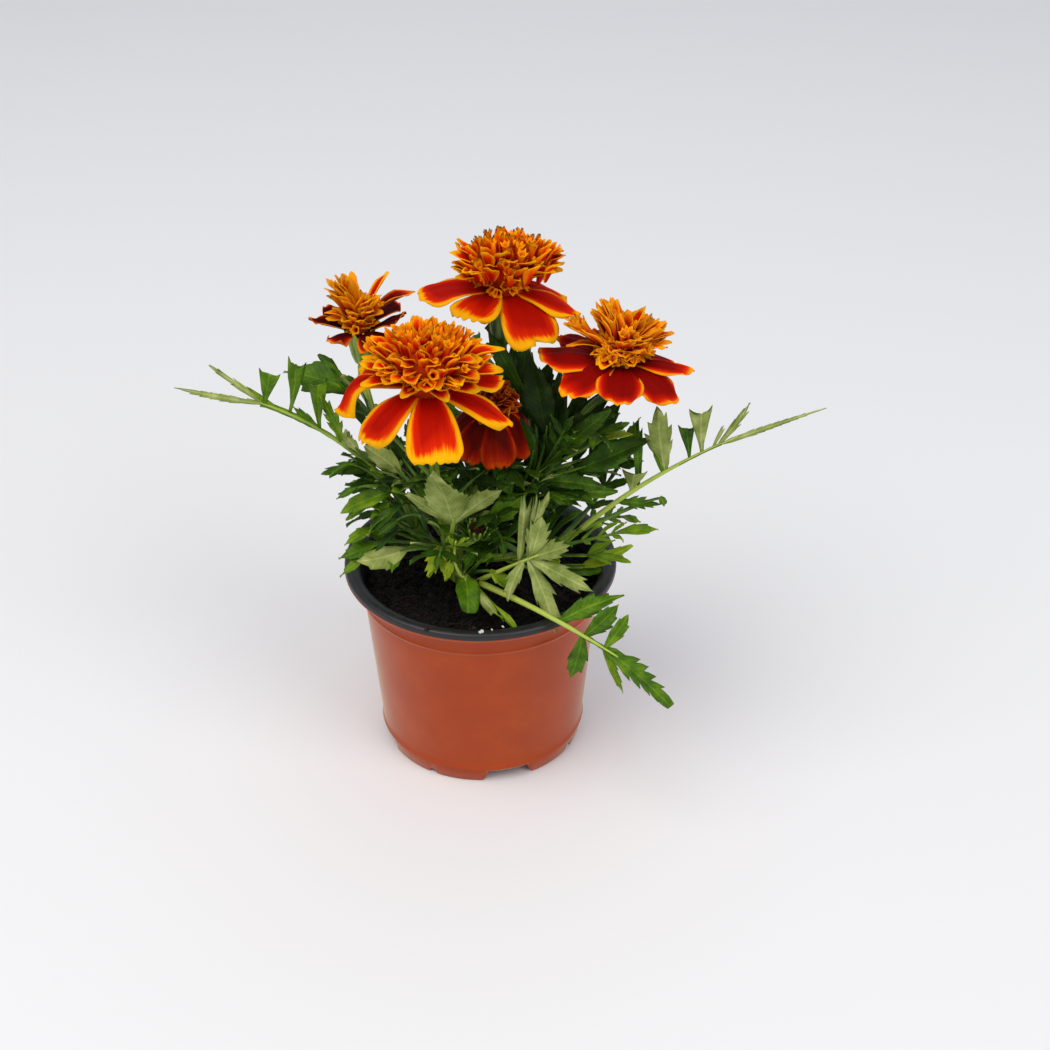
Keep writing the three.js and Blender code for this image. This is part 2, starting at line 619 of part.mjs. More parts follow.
Object.entries(heads).forEach(([name, head], i) => {
  addPart(`head_${name}`, toGeometry(headSolid(head, i + 1)), head.colour);
});

addPart('bud', toGeometry(budSolid()), colours.stem);

for (const [name, own] of Object.entries(leaves)) {
  const leaf = { ...leafDefaults, ...own };
  const colour = paleLeaves.includes(name) ? colours.pale : colours.leaf;
  addPart(`leaf_${name}`, leafGeometry(leaf, leafRoot(leaf)), colour);
}

export default model;
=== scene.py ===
import math
import random

import bpy
import numpy as np
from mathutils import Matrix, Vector, noise


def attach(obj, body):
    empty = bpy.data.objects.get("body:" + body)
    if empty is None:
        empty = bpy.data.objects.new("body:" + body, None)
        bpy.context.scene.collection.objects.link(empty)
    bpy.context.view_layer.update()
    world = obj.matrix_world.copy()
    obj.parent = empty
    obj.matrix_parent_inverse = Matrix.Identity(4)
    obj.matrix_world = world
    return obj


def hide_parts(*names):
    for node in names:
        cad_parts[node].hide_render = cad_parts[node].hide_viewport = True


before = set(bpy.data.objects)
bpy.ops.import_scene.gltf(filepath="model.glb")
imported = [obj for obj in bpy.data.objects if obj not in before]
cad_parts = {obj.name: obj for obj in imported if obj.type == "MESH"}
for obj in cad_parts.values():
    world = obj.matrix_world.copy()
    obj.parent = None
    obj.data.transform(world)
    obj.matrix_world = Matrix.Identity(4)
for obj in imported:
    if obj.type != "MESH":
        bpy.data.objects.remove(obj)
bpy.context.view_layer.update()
print("frame loaded:", len(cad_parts), "pieces")

# Every size below is in millimetres, with the origin under the middle of the pot and +Z up
mm = 0.001
fullTurn = 2 * math.pi
goldenAngle = math.pi * (3 - math.sqrt(5))


# Small helpers

def unit(vector):
    return np.asarray(vector, float) / np.linalg.norm(vector)


def smoothStep(low, high, value):
    share = np.clip((value - low) / (high - low), 0, 1)
    return share * share * (3 - 2 * share)


def turned(direction, towards, degrees):
    angle = math.radians(degrees)
    return direction * math.cos(angle) + towards * math.sin(angle)


def allRound(count):
    return np.linspace(0, fullTurn, count, endpoint=False)


def ring(angles, radius, height):
    # Points round the upright axis; the radius and the height are one number, or one for each angle
    return np.stack([np.cos(angles) * radius, np.sin(angles) * radius, height + 0 * angles], axis=1)


def leaning(lean, turn):
    return np.array([math.sin(lean) * math.cos(turn), math.sin(lean) * math.sin(turn), math.cos(lean)])


def twisted(across, out, angle):
    return across * np.cos(angle) - out * np.sin(angle), across * np.sin(angle) + out * np.cos(angle)


def layOut(origin, *ways):
    # A grid of points, from pairs of a direction and how far every point lies along it
    return origin + sum(np.asarray(axis, float) * amount[..., None] for axis, amount in ways)


def named(names, row):
    # A row of values as a dictionary; what only this row has stands in a dictionary at its end
    plain = [value for value in row if not isinstance(value, dict)]
    return {**dict(zip(names, plain)), **(row[-1] if isinstance(row[-1], dict) else {})}


def linearColour(hexText):
    channels = [int(hexText[i:i + 2], 16) / 255 for i in (1, 3, 5)]
    return [c / 12.92 if c <= 0.04045 else ((c + 0.055) / 1.055) ** 2.4 for c in channels] + [1]


def asSetting(value):
    return linearColour(value) if str(value).startswith("#") else value


def addNode(tree, kind, settings=None, stops=None):
    # A setting is a plain value, a hex colour, an output to link, or a node whose first output is linked
    node = tree.nodes.new("ShaderNode" + kind)
    for name, value in (settings or {}).items():
        value = value.outputs[0] if isinstance(value, bpy.types.Node) else value
        if isinstance(value, bpy.types.NodeSocket):
            tree.links.new(value, node.inputs[name])
        elif isinstance(name, int) or name in node.inputs:
            node.inputs[name].default_value = asSetting(value)
        else:
            setattr(node, name, value)
    if stops:
        elements = node.color_ramp.elements
        elements.remove(elements[1])
        elements[0].position, elements[0].color = stops[0][0], linearColour(stops[0][1])
        for position, colour in stops[1:]:
            elements.new(position).color = linearColour(colour)
    return node


def startMaterial(name, settings, reads=()):
    # Gives the material, its tree, and what its patterns read: the place in the object, or values of its points
    material = bpy.data.materials.new(name)
    material.use_nodes = True
    tree = material.node_tree
    for socket, value in settings.items():
        tree.nodes["Principled BSDF"].inputs[socket].default_value = asSetting(value)
    found = []
    for value in reads:
        if value == "place":
            found.append(addNode(tree, "TexCoord").outputs["Object"])
        else:
            found.append(addNode(tree, "Attribute", {"attribute_name": value}).outputs["Fac"])
    return material, tree, *found


def finishMaterial(material, colour, heights=None, strength=0.0, depth=0.0):
    # Wires the colour in and, where there are heights, a bump of this depth in millimetres
    tree = material.node_tree
    shader = tree.nodes["Principled BSDF"]
    tree.links.new(colour, shader.inputs["Base Color"])
    if heights:
        bump = addNode(tree, "Bump", {"Strength": strength, "Distance": depth * mm, "Height": heights})
        tree.links.new(bump.outputs[0], shader.inputs["Normal"])
    return material


# A mesh is gathered from grids of points, and every point carries a few named values for the materials

def newSheet():
    return {"points": [], "faces": [], "materials": [], "values": {}, "count": 0}


def addGrid(sheet, points, facing, values, closed=False, material=0):
    # `material` is one number, or one for every step between two rows
    points = np.asarray(points, float)
    rows, columns = points.shape[:2]
    number = np.arange(rows * columns).reshape(rows, columns) + sheet["count"]
    if closed:
        number = np.concatenate([number, number[:, :1]], axis=1)
    corners = [number[:-1, :-1], number[:-1, 1:], number[1:, 1:], number[1:, :-1]]
    middle = points[rows // 2, columns // 2]
    step = points[rows // 2, columns // 2 + 1] - middle
    rise = points[rows // 2 + 1, columns // 2] - middle
    if np.dot(np.cross(step, rise), facing) < 0:
        corners.reverse()
    sheet["faces"] += np.stack([c.ravel() for c in corners], axis=1).tolist()
    steps = np.full(rows - 1, material) if np.isscalar(material) else np.asarray(material)
    sheet["materials"] += np.repeat(steps, corners[0].shape[1]).tolist()
    sheet["points"].append(points.reshape(-1, 3))
    for name in {**sheet["values"], **values}:
        value = np.broadcast_to(values.get(name, 0.0), (rows, columns)).ravel()
        sheet["values"].setdefault(name, [np.zeros(sheet["count"])]).append(value)
    sheet["count"] += rows * columns


def makePiece(name, sheet, materials, nodes, thickness=0, sharpAngle=None):
    # With a thickness the sheet becomes a shell, and the later half of the materials its under face
    mesh = bpy.data.meshes.new(name)
    mesh.from_pydata((np.concatenate(sheet["points"]) * mm).tolist(), [], sheet["faces"])
    for label, parts in sheet["values"].items():
        layer = mesh.attributes.new(label, "FLOAT", "POINT")
        layer.data.foreach_set("value", np.concatenate(parts).astype(np.float32))
    for material in materials:
        mesh.materials.append(material)
    mesh.polygons.foreach_set("use_smooth", [True] * len(mesh.polygons))
    mesh.polygons.foreach_set("material_index", sheet["materials"])
    if sharpAngle:
        mesh.set_sharp_from_angle(angle=math.radians(sharpAngle))
    mesh.update()
    piece = bpy.data.objects.new(name, mesh)
    bpy.context.scene.collection.objects.link(piece)
    if thickness:
        shell = piece.modifiers.new("thickness", "SOLIDIFY")
        shell.thickness = thickness * mm
        shell.offset = 0
        shell.material_offset = len(materials) // 2
    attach(piece, "root")
    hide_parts(*nodes)


def curveThrough(points, count):
    # A centripetal Catmull-Rom curve, as `count` points at equal steps of its length
    points = [np.array(point, float) for point in points]
    points = [2 * points[0] - points[1], *points, 2 * points[-1] - points[-2]]
    found = []
    for p0, p1, p2, p3 in zip(points, points[1:], points[2:], points[3:]):
        gaps = [np.linalg.norm(b - a) ** 0.5 for a, b in ((p0, p1), (p1, p2), (p2, p3))]
        t0, t1, t2, t3 = 0, gaps[0], gaps[0] + gaps[1], sum(gaps)
        for t in np.linspace(t1, t2, 24, endpoint=False):
            a1 = (t1 - t) / (t1 - t0) * p0 + (t - t0) / (t1 - t0) * p1
            a2 = (t2 - t) / (t2 - t1) * p1 + (t - t1) / (t2 - t1) * p2
            a3 = (t3 - t) / (t3 - t2) * p2 + (t - t2) / (t3 - t2) * p3
            b1 = (t2 - t) / (t2 - t0) * a1 + (t - t0) / (t2 - t0) * a2
            b2 = (t3 - t) / (t3 - t1) * a2 + (t - t1) / (t3 - t1) * a3
            found.append((t2 - t) / (t2 - t1) * b1 + (t - t1) / (t2 - t1) * b2)
    found = np.array(found + [points[-2]])
    run = np.concatenate([[0], np.cumsum(np.linalg.norm(np.diff(found, axis=0), axis=1))])
    return np.stack([np.interp(np.linspace(0, run[-1], count), run, found[:, k]) for k in range(3)], axis=1)


def addTube(sheet, path, radii, sides, values, ribs=0, ribDepth=0.0, material=0):
    # A round or ribbed tube along a path of points, its section turned as little as it can be
    path = np.asarray(path, float)
    share = np.linspace(0, 1, len(path))
    radii = np.interp(share, np.linspace(0, 1, len(radii)), radii)
    tangents = np.gradient(path, axis=0)
    upright = abs(unit(tangents[0])[2]) >= 0.9
    side = unit(np.cross(tangents[0], [1, 0.2, 0] if upright else [0.31, 0.17, 0.94]))
    around = allRound(sides)
    rings = []
    for point, tangent, radius in zip(path, tangents, radii):
        ahead = unit(tangent)
        side = unit(side - np.dot(side, ahead) * ahead)
        reach = radius * (1 + ribDepth * np.cos(ribs * around))
        across, out = np.outer(np.cos(around) * reach, side), np.outer(np.sin(around) * reach, np.cross(ahead, side))
        rings.append(point + across + out)
    middle = rings[len(rings) // 2]
    addGrid(sheet, rings, middle[sides // 2] - middle.mean(axis=0),
            {"along": share[:, None], "ridge": np.cos(ribs * around)[None, :], **values}, True, material)


def headTurn(head):
    return np.array(Vector((0, 0, 1)).rotation_difference(Vector(head["facing"])).to_matrix())


def toHead(points, head):
    return np.asarray(points, float) @ headTurn(head).T + np.array(head["mouth"], float)


# The camera stands where the photographer's did: 0.75 m off, looking down by 33 degrees

photoView = {
    "place": (0.0172, -0.5802, 0.4653),     # metres
    "downDegrees": 32.62,
    "focalPixels": 1800,                    # focal length in pixels of the photograph
    "pictureSide": 1050,                    # its width and height in pixels
    "sensorWidth": 36,
}


def addCamera(settings):
    camera = bpy.data.cameras.new("photoCamera")
    camera.sensor_width = settings["sensorWidth"]
    camera.lens = settings["sensorWidth"] * settings["focalPixels"] / settings["pictureSide"]
    camera.clip_start = 0.01
    stand = bpy.data.objects.new("photoCamera", camera)
    stand.location = settings["place"]
    stand.rotation_euler = (math.radians(90 - settings["downDegrees"]), 0, 0)
    bpy.context.scene.collection.objects.link(stand)
    bpy.context.scene.camera = stand


addCamera(photoView)


# The studio: a pale floor under three soft lamps and a faint sky

studio = {
    "floorSize": 9.0,                       # metres
    "floorColour": "#ebedee", "skyColour": "#f3f5ff", "skyStrength": 0.5,
    "aim": (0, 0, 0.12),                    # metres, as the places and sizes of the lamps are
    "lamps": [
        {"place": (-0.7, -0.6, 1.6), "size": 1.5, "watts": 18, "colour": "#fff8f0"},
        {"place": (1.0, -0.9, 1.3), "size": 1.2, "watts": 10.5, "colour": "#fffdfa"},
        {"place": (0.2, 1.1, 1.5), "size": 1.4, "watts": 2.2, "colour": "#f6f9ff"},
    ],
}


def addStudio(settings):
    scene = bpy.context.scene
    scene.view_settings.view_transform = "Standard"
    world = bpy.data.worlds.new("studioAir")
    world.use_nodes = True
    background = world.node_tree.nodes["Background"]
    background.inputs["Color"].default_value = linearColour(settings["skyColour"])
    background.inputs["Strength"].default_value = settings["skyStrength"]
    scene.world = world
    half = settings["floorSize"] / 2
    mesh = bpy.data.meshes.new("floor")
    corners = [(-half, -half, 0), (half, -half, 0), (half, half, 0), (-half, half, 0)]
    mesh.from_pydata(corners, [], [(0, 1, 2, 3)])
    floor = bpy.data.objects.new("floor", mesh)
    scene.collection.objects.link(floor)
    # Matt paper sweep: an even pale tone with soft shadows and no glare
    paper = {"Base Color": settings["floorColour"], "Roughness": 0.85, "Specular IOR Level": 0.2}
    mesh.materials.append(startMaterial("mattPaperSweep", paper)[0])
    for number, lamp in enumerate(settings["lamps"]):
        light = bpy.data.lights.new(f"softbox{number}", "AREA")
        light.shape, light.size, light.energy = "DISK", lamp["size"], lamp["watts"]
        light.color = linearColour(lamp["colour"])[:3]
        holder = bpy.data.objects.new(f"softbox{number}", light)
        holder.location = lamp["place"]
        aim = Vector(settings["aim"]) - Vector(lamp["place"])
        holder.rotation_euler = aim.to_track_quat("-Z", "Y").to_euler()
        scene.collection.objects.link(holder)


addStudio(studio)
print("camera and studio set")


# The pot: thin vacuum-formed plastic in two layers, terracotta outside, black inside and over its rim

pot = {
    "sides": 192, "height": 80, "rimRadius": 52.5, "lipDepth": 3, "collarRadius": 47.2, "shoulderRadius": 46.5,
    "shoulderDrop": 13, "wallTop": 45.5, "wall": 1.0, "bandRadius": 40.4, "bandHeight": 6.4, "footRadius": 39.3,
    "footInner": 36, "floorUnder": 5, "floor": 1.2, "padRadius": 9, "blackEdge": 2.6,
}
notches = {
    "count": 8, "firstDegrees": -74,
    "wide": {"width": 15.5, "height": 4.5, "slant": 2.4},
    "narrow": {"width": 2, "height": 1.6, "slant": 1},
}


def terracottaPlastic():
    # Vacuum-formed polypropylene: satin, with a faint mottle, scuffs from stacking and pale dusty flanks
    material, tree, place = startMaterial("terracottaPolypropylene", {
        "Roughness": 0.5, "IOR": 1.49, "Specular IOR Level": 0.1, "Coat Weight": 0.6, "Coat Roughness": 0.16,
        "Coat IOR": 1.4, "Sheen Weight": 0.45, "Sheen Roughness": 0.3, "Sheen Tint": "#eef2c0",
    }, ["place"])
    mottle = addNode(tree, "TexNoise", {"Scale": 1 / (16 * mm), "Detail": 3.0, "Vector": place})
    stretched = addNode(tree, "Mapping", {"Scale": (1.0, 1.0, 7.0), "Vector": place})
    scuffs = addNode(tree, "TexNoise", {"Scale": 1 / (5 * mm), "Detail": 5.0, "Roughness": 0.7, "Vector": stretched})
    clay = addNode(tree, "ValToRGB", {"Fac": mottle}, [(0.3, "#a43a02"), (0.55, "#aa3e03"), (0.75, "#b04404")])
    dust = addNode(tree, "ValToRGB", {"Fac": scuffs}, [(0.55, "#000000"), (0.8, "#1c1c1c")])
    paint = addNode(tree, "Mix", {"data_type": "RGBA", 0: dust, 6: clay, 7: "#c99a7d"})
    return finishMaterial(material, paint.outputs[2], scuffs, 0.25, 0.2)


def blackPlastic():
    # The inner layer of the same sheet, carbon black: a soft grey shine where it turns over the rim
    material, tree, place = startMaterial("blackPolypropylene", {"Roughness": 0.38, "IOR": 1.49}, ["place"])
    dust = addNode(tree, "TexNoise", {"Scale": 1 / (3 * mm), "Detail": 6.0, "Roughness": 0.7, "Vector": place})
    colours = addNode(tree, "ValToRGB", {"Fac": dust}, [(0.4, "#17181a"), (0.62, "#1f2022"), (0.8, "#3a3632")])
    rough = addNode(tree, "MapRange", {"To Min": 0.3, "To Max": 0.55, "Value": dust})
    tree.links.new(rough.outputs[0], tree.nodes["Principled BSDF"].inputs["Roughness"])
    return finishMaterial(material, colours.outputs[0])


def notchShape(i):
    # Where the middle of one notch lies round the foot, and its width, height and slant
    size = notches["narrow" if i % 2 else "wide"]
    return math.radians(notches["firstDegrees"] + i * 360 / notches["count"]), size


def notchLift(angle):
    # How far the foot's edge is lifted at each angle, from the notches that are cut in it
    lift = np.zeros_like(angle)
    for i in range(notches["count"]):
        centre, size = notchShape(i)
        away = np.abs((angle - centre + math.pi) % fullTurn - math.pi) * pot["footRadius"]
        lift = np.maximum(lift, size["height"] * (1 - np.clip((away - size["width"] / 2) / size["slant"], 0, 1)))
    return lift


def notchAngles():
    # Even steps round the pot, and one more at each corner of a notch
    angles = list(allRound(pot["sides"]))
    for i in range(notches["count"]):
        centre, size = notchShape(i)
        for edge in (size["width"] / 2, size["width"] / 2 + size["slant"]):
            angles += [(centre + side * edge / pot["footRadius"]) % fullTurn for side in (-1, 1)]
    angles = sorted(angles)
    return np.array([a for a, b in zip(angles, angles[1:] + [angles[0] + fullTurn]) if b - a > 0.004])


def makePot():
    height, rim, band, wallTop, wall = (pot[key] for key in ("height", "rimRadius", "bandRadius", "wallTop", "wall"))
    bend, inner, foot, bandTop = (pot[key] for key in ("shoulderRadius", "footInner", "footRadius", "bandHeight"))
    under, shoulder, lip = pot["floorUnder"], height - pot["shoulderDrop"], height - pot["lipDepth"]
    inside, flare = under + pot["floor"], wallTop - band
    profile = [                 # what the stretches are, a radius and a height, and the rings as steps from there
        ("clay", 0, 0, [(0, 0.02)]),
        ("clay", pot["padRadius"], 0, [(-0.4, 0.02), (0, 0.4), (1, under)]),
        ("clay", inner, under, [(-0.6, 0)]),
        ("foot", inner, 0, [(0, 0.3), (0.5, 0)]),
        ("foot", foot, 0, [(-0.4, 0), (0, 0.4)]),
        ("edge", band, bandTop, [(-0.5, -0.6)]),
        ("clay", band, bandTop, [(0.3, -0.2), (0.4, 0.3), (0.1, 0.9)]),
        ("clay", band, bandTop + 2,
         [(flare * t, (shoulder - 4 - bandTop) * t) for t in np.linspace(0.03, 0.995, 9)]),
        ("clay", wallTop, shoulder, [(0, -1.1), (0.4, -0.75)]),
        ("clay", bend, shoulder, [(0.15, -0.3), (0.4, 0.2), (0.3, 0.6), (0, 1.1), (0.1, 3)]),
        ("clay", pot["collarRadius"], lip, [(0, -0.9), (0.8, -0.3)]),
        ("clay", rim, lip, [(-1.3, -0.55), (-0.5, -0.6), (-0.05, -0.2), (0.1, 0.2), (-0.1, 0.7)]),
        ("clay", rim, height, [(0, -pot["blackEdge"])]),
        ("black", rim, height, [(0, -1.1), (-0.25, -0.5), (-0.9, -0.1), (-1.8, 0), (-3.4, -0.25), (-4.2, -0.7),
                                (-5.6, -1.7), (-6.2, -3), (-6.4, -5)]),
        ("black", bend - wall, shoulder, [(0, 0.2)]),
        ("black", wallTop - wall, shoulder, [(0, -0.9)]),
        ("black", band - wall, inside,
         [(flare * t, (shoulder - 0.9 - inside) * t) for t in (0.9, 0.6, 0.3, 0)]),
        ("black", 0, inside, [(0, 0)]),
    ]
    angles = notchAngles()
    lift = notchLift(angles)
    rows, kinds = [], []
    for kind, radius, base, steps in profile:
        for out, up in steps:
            level = np.full_like(angles, base + up)
            if kind == "foot":                    # a notch is cut a little less deep at the outer corner
                level = level + lift * (0.95 if up == 0.4 else 1)
            elif kind == "edge":
                level = np.maximum(level, lift + 0.35)
            rows.append(ring(angles, radius + out, level))
            kinds.append(1 if kind == "black" else 0)
    sheet = newSheet()
    middle = rows[len(rows) // 2][len(angles) // 2]
    addGrid(sheet, rows, middle * [1, 1, 0], {}, True, kinds[1:])
    makePiece("potShell", sheet, [terracottaPlastic(), blackPlastic()], ["pot"], sharpAngle=48)


makePot()
print("pot made")


# The soil: black peat in fine crumbs, with specks of bark and a few white grains of perlite

soil = {
    "crown": 71.5, "edge": 68.5, "flat": 37, "bumps": 1.3, "fall": 1.2, "edgeFall": 6.4, "rough": 0.9,
    "bottom": 6.5, "rings": 70, "spokes": 210, "crumbs": 5200, "crumbSize": (0.25, 1.1), "fibres": 60,
    "grains": [(0.9, -51, 80.4), (1.6, -50.4, 80.3), (5.2, -49.2, 80.2), (9.2, -46.9, 79.9), (-33, -29, 70.6),
               (24, -33, 70.2), (6, -38, 69.8)],
    "spilt": [(-18.4, -47.5, 80), (-17.2, -48.2, 80.1), (-19.6, -46.6, 79.8), (-16, -47.6, 80),
              (-18.8, -48.6, 80.2), (-3, -48.2, 79.9), (-1.5, -47.6, 79.8)],
}


def peatMaterial():
    # Damp peat drinks nearly all light; crumbs catch a little brown on their tops
    material, tree, place, tint = startMaterial("dampPeat", {
        "Roughness": 0.93, "Specular IOR Level": 0.25}, ["place", "tint"])
    grain = addNode(tree, "TexNoise", {"Scale": 1 / (1.7 * mm), "Detail": 6.0, "Roughness": 0.75, "Vector": place})
    clod = addNode(tree, "TexNoise", {"Scale": 1 / (9 * mm), "Detail": 2.0, "Vector": place})
    clod = addNode(tree, "Math", {"operation": "MULTIPLY", 0: clod, 1: 0.25})
    total = addNode(tree, "Math", {"operation": "MULTIPLY_ADD", 0: grain, 1: 0.75, 2: clod})
    colours = addNode(tree, "ValToRGB", {"Fac": total},
                      [(0.36, "#060505"), (0.52, "#0c0a09"), (0.64, "#15100d"), (0.78, "#2a1f18")])
    paint = addNode(tree, "Mix", {"data_type": "RGBA", 0: tint, 6: colours, 7: "#3a2519"})
    return finishMaterial(material, paint.outputs[2], grain, 0.8, 0.5)


def soilHeight(x, y):
    outward = math.hypot(x, y) / soil["flat"]
    wave = math.sin(x * 0.9 + 1.3 * math.sin(y * 0.5)) + math.cos(y * 1.1 + 0.7 * math.sin(x * 0.4))
    level = soil["crown"] + soil["bumps"] * wave / 2 - soil["fall"] * outward ** 2
    return level - soil["edgeFall"] * max(0.0, outward - 1)


def soilSpot(draw, widest):
    radius, angle = widest * math.sqrt(draw.random()), draw.uniform(0, fullTurn)
    x, y = radius * math.cos(angle), radius * math.sin(angle)
    return np.array([x, y, soilHeight(x, y)])


def addCrumb(sheet, centre, size, draw, tint=0.0, flat=0.8):
    angles, rows = allRound(6) + draw.uniform(0, 1), []
    for level, radius in ((-1, 0.15), (-0.55, 0.85), (0.2, 1), (0.75, 0.7), (1, 0.12)):
        jitter = np.array([draw.uniform(0.75, 1.2) for _ in angles])
        rows.append(ring(angles, radius * jitter, level * flat))
    rows = np.array(rows) * size
    rows[:, :, 2] += rows[:, :, 0] * draw.uniform(-0.5, 0.5)
    addGrid(sheet, rows + centre, rows[2, 3] * [1, 1, 0], {"tint": tint}, True)


def wallInside(height):
    # Radius that the soil has at a height, a hair inside the pot's wall
    slope = (pot["wallTop"] - pot["bandRadius"]) / (pot["height"] - pot["shoulderDrop"] - pot["bandHeight"])
    return pot["bandRadius"] - pot["wall"] - 0.3 + slope * (height - soil["bottom"])


def makeSoil():
    draw, sheet, grains = random.Random(11), newSheet(), newSheet()
    edge, bottom = wallInside(soil["edge"]), soil["bottom"]
    around, rows = allRound(soil["spokes"]), []
    for radius in edge * np.linspace(0.01, 1, soil["rings"]) ** 0.75:
        rows.append(ring(around, radius, 0))
        for spot in rows[-1]:
            rough = noise.fractal(Vector((spot[0] * 0.35, spot[1] * 0.35, 3.1)), 0.8, 2.1, 4)
            spot[2] = soilHeight(spot[0], spot[1]) + soil["rough"] * rough
    rows += [ring(around, edge, soil["edge"] - 3), ring(around, wallInside(bottom + 0.1), bottom)]
    addGrid(sheet, [*rows, ring(around, 0.5, bottom)], (0, 0, 1), {"tint": 0.0}, True)
    small, large = soil["crumbSize"]
    for _ in range(soil["crumbs"]):
        spot = soilSpot(draw, edge - 1.2)
        size = small + (large - small) * draw.random() ** 2.6
        tint = 0.9 if draw.random() < 0.03 else draw.random() ** 4 * 0.4
        addCrumb(sheet, spot + [0, 0, size * 0.35], size, draw, tint)
    for _ in range(soil["fibres"]):
        start = soilSpot(draw, edge - 5) + [0, 0, 0.6]
        heading, length = draw.uniform(0, fullTurn), draw.uniform(2, 6)
        lean = np.array([math.cos(heading), math.sin(heading), draw.uniform(-0.1, 0.5)]) * length
        path = [start + lean * t + [0, 0, math.sin(t * 3) * 0.5] for t in np.linspace(0, 1, 6)]
        addTube(sheet, path, (0.14, 0.1), 5, {"tint": 1.0})
    for place in soil["spilt"]:
        addCrumb(sheet, np.array(place), draw.uniform(0.4, 1.0), draw, 0.7, 0.6)
    makePiece("peat", sheet, [peatMaterial()], ["soil"])
    for place in soil["grains"]:
        addCrumb(grains, np.array(place), draw.uniform(0.4, 0.8), draw, 0.0, 0.9)
    # Expanded glass foam: chalky white, with no shine
    perlite = startMaterial("perliteGrain", {"Roughness": 0.9, "Base Color": "#d9d4c8"})[0]
    makePiece("perliteGrains", grains, [perlite], ["soil"])


makeSoil()
print("soil made")


# Stems, and the ribbed green cup under every flower head

stems = {
    "main": {"points": [(-10, -4, 63), (-9, -3, 84), (-4, 3, 104), (4, 15, 130), (8.5, 20, 150)],
             "radii": (2.6, 1.5)},
    "a": {"points": [(-9.5, -3.5, 76), (-12, -13, 92), (-15, -19, 125), (-17, -28, 150)], "radii": (1.8, 1.5)},
    "c": {"points": [(-8.6, -2.4, 86), (6, -2, 97), (21, 0, 113), (32, 2, 132), (45, -2, 150)],
          "radii": (1.8, 1.4)},
    "d": {"points": [(-9, -3, 84), (-20, -5, 90), (-31, -4, 114), (-41, 12, 141), (-44, 20, 152)],
          "radii": (1.8, 1.4)},
    "e": {"points": [(-3.6, 3.6, 105), (3, 0, 116), (5, -2, 130)], "radii": (1.5, 1.3)},
    "right": {"points": [(-9, -3.2, 81), (8, -6, 83), (24, -8, 88), (37, -8, 96)], "radii": (1.6, 1.2)},
    "front": {"points": [(-9.8, -3.9, 75.5), (-4, -13, 77), (0, -23, 83)], "radii": (1.5, 1.2)},
}


def stalkMaterial():
    # Juicy ribbed stalk: glossy yellow-green, the grooves between its ribs darker
    material, tree, place, ridge, tint = startMaterial("juicyStalk", {
        "Roughness": 0.42, "IOR": 1.42, "Subsurface Weight": 0.06, "Subsurface Radius": (0.0015, 0.002, 0.0006),
    }, ["place", "ridge", "tint"])
    blotch = addNode(tree, "TexNoise", {"Scale": 1 / (14 * mm), "Detail": 3.0, "Vector": place})
    tone = addNode(tree, "Math", {"operation": "MULTIPLY_ADD", 0: ridge, 1: 0.12, 2: blotch})
    tone = addNode(tree, "Math", {"operation": "ADD", 0: tone, 1: tint})
    colours = addNode(tree, "ValToRGB", {"Fac": tone},
                      [(0.1, "#2c4c17"), (0.4, "#567a24"), (0.6, "#86a334"), (0.9, "#b3c552")])
    return finishMaterial(material, colours.outputs[0])


stalk = stalkMaterial()
cupShares = [(-0.9, 0.56), (-0.72, 0.74), (-0.5, 0.82), (-0.3, 0.88), (-0.12, 0.95), (0.0, 1.0)]


def addCalyx(sheet, head, stemRadius, tint):
    # Five-ribbed cup with small teeth standing round the feet of the petals
    height, mouth = head["calyx"], head["mouthRadius"]
    around = allRound(60)
    rib, tooth = np.cos(around * 10), 2.6 * np.abs(np.cos(around * 5)) ** 1.5
    rows = [ring(around, stemRadius * 0.8, -1.07 * height), ring(around, stemRadius + 0.5, -height)]
    for level, share in cupShares:
        ribbed = 1 + 0.045 * rib * smoothStep(-1.0, -0.7, level)
        rows.append(ring(around, mouth * share ** head.get("taper", 1) * ribbed, level * height))
    rows += [ring(around, mouth * (1.06 + 0.02 * rib), tooth * 0.5), ring(around, mouth * (1.1 + 0.02 * rib), tooth)]
    rows += [ring(around, mouth, tooth * 0.9 - 0.2), ring(around, mouth * 0.9, -0.2)]
    values = {"ridge": rib[None, :] * 1.6, "tint": tint}
    addGrid(sheet, toHead(rows, head), headTurn(head) @ [-1, 0, 0], values, True)


# The flower heads, in rows of named values. A ray is a broad petal: its bearing from +X in degrees, `droop`
# how far its tip hangs, `gold` the width of its yellow margin there and `lobes` the scallops of its tip.
# A strap is a single petal that stands in the crest, and a tuft a bundle of florets that lean one way.

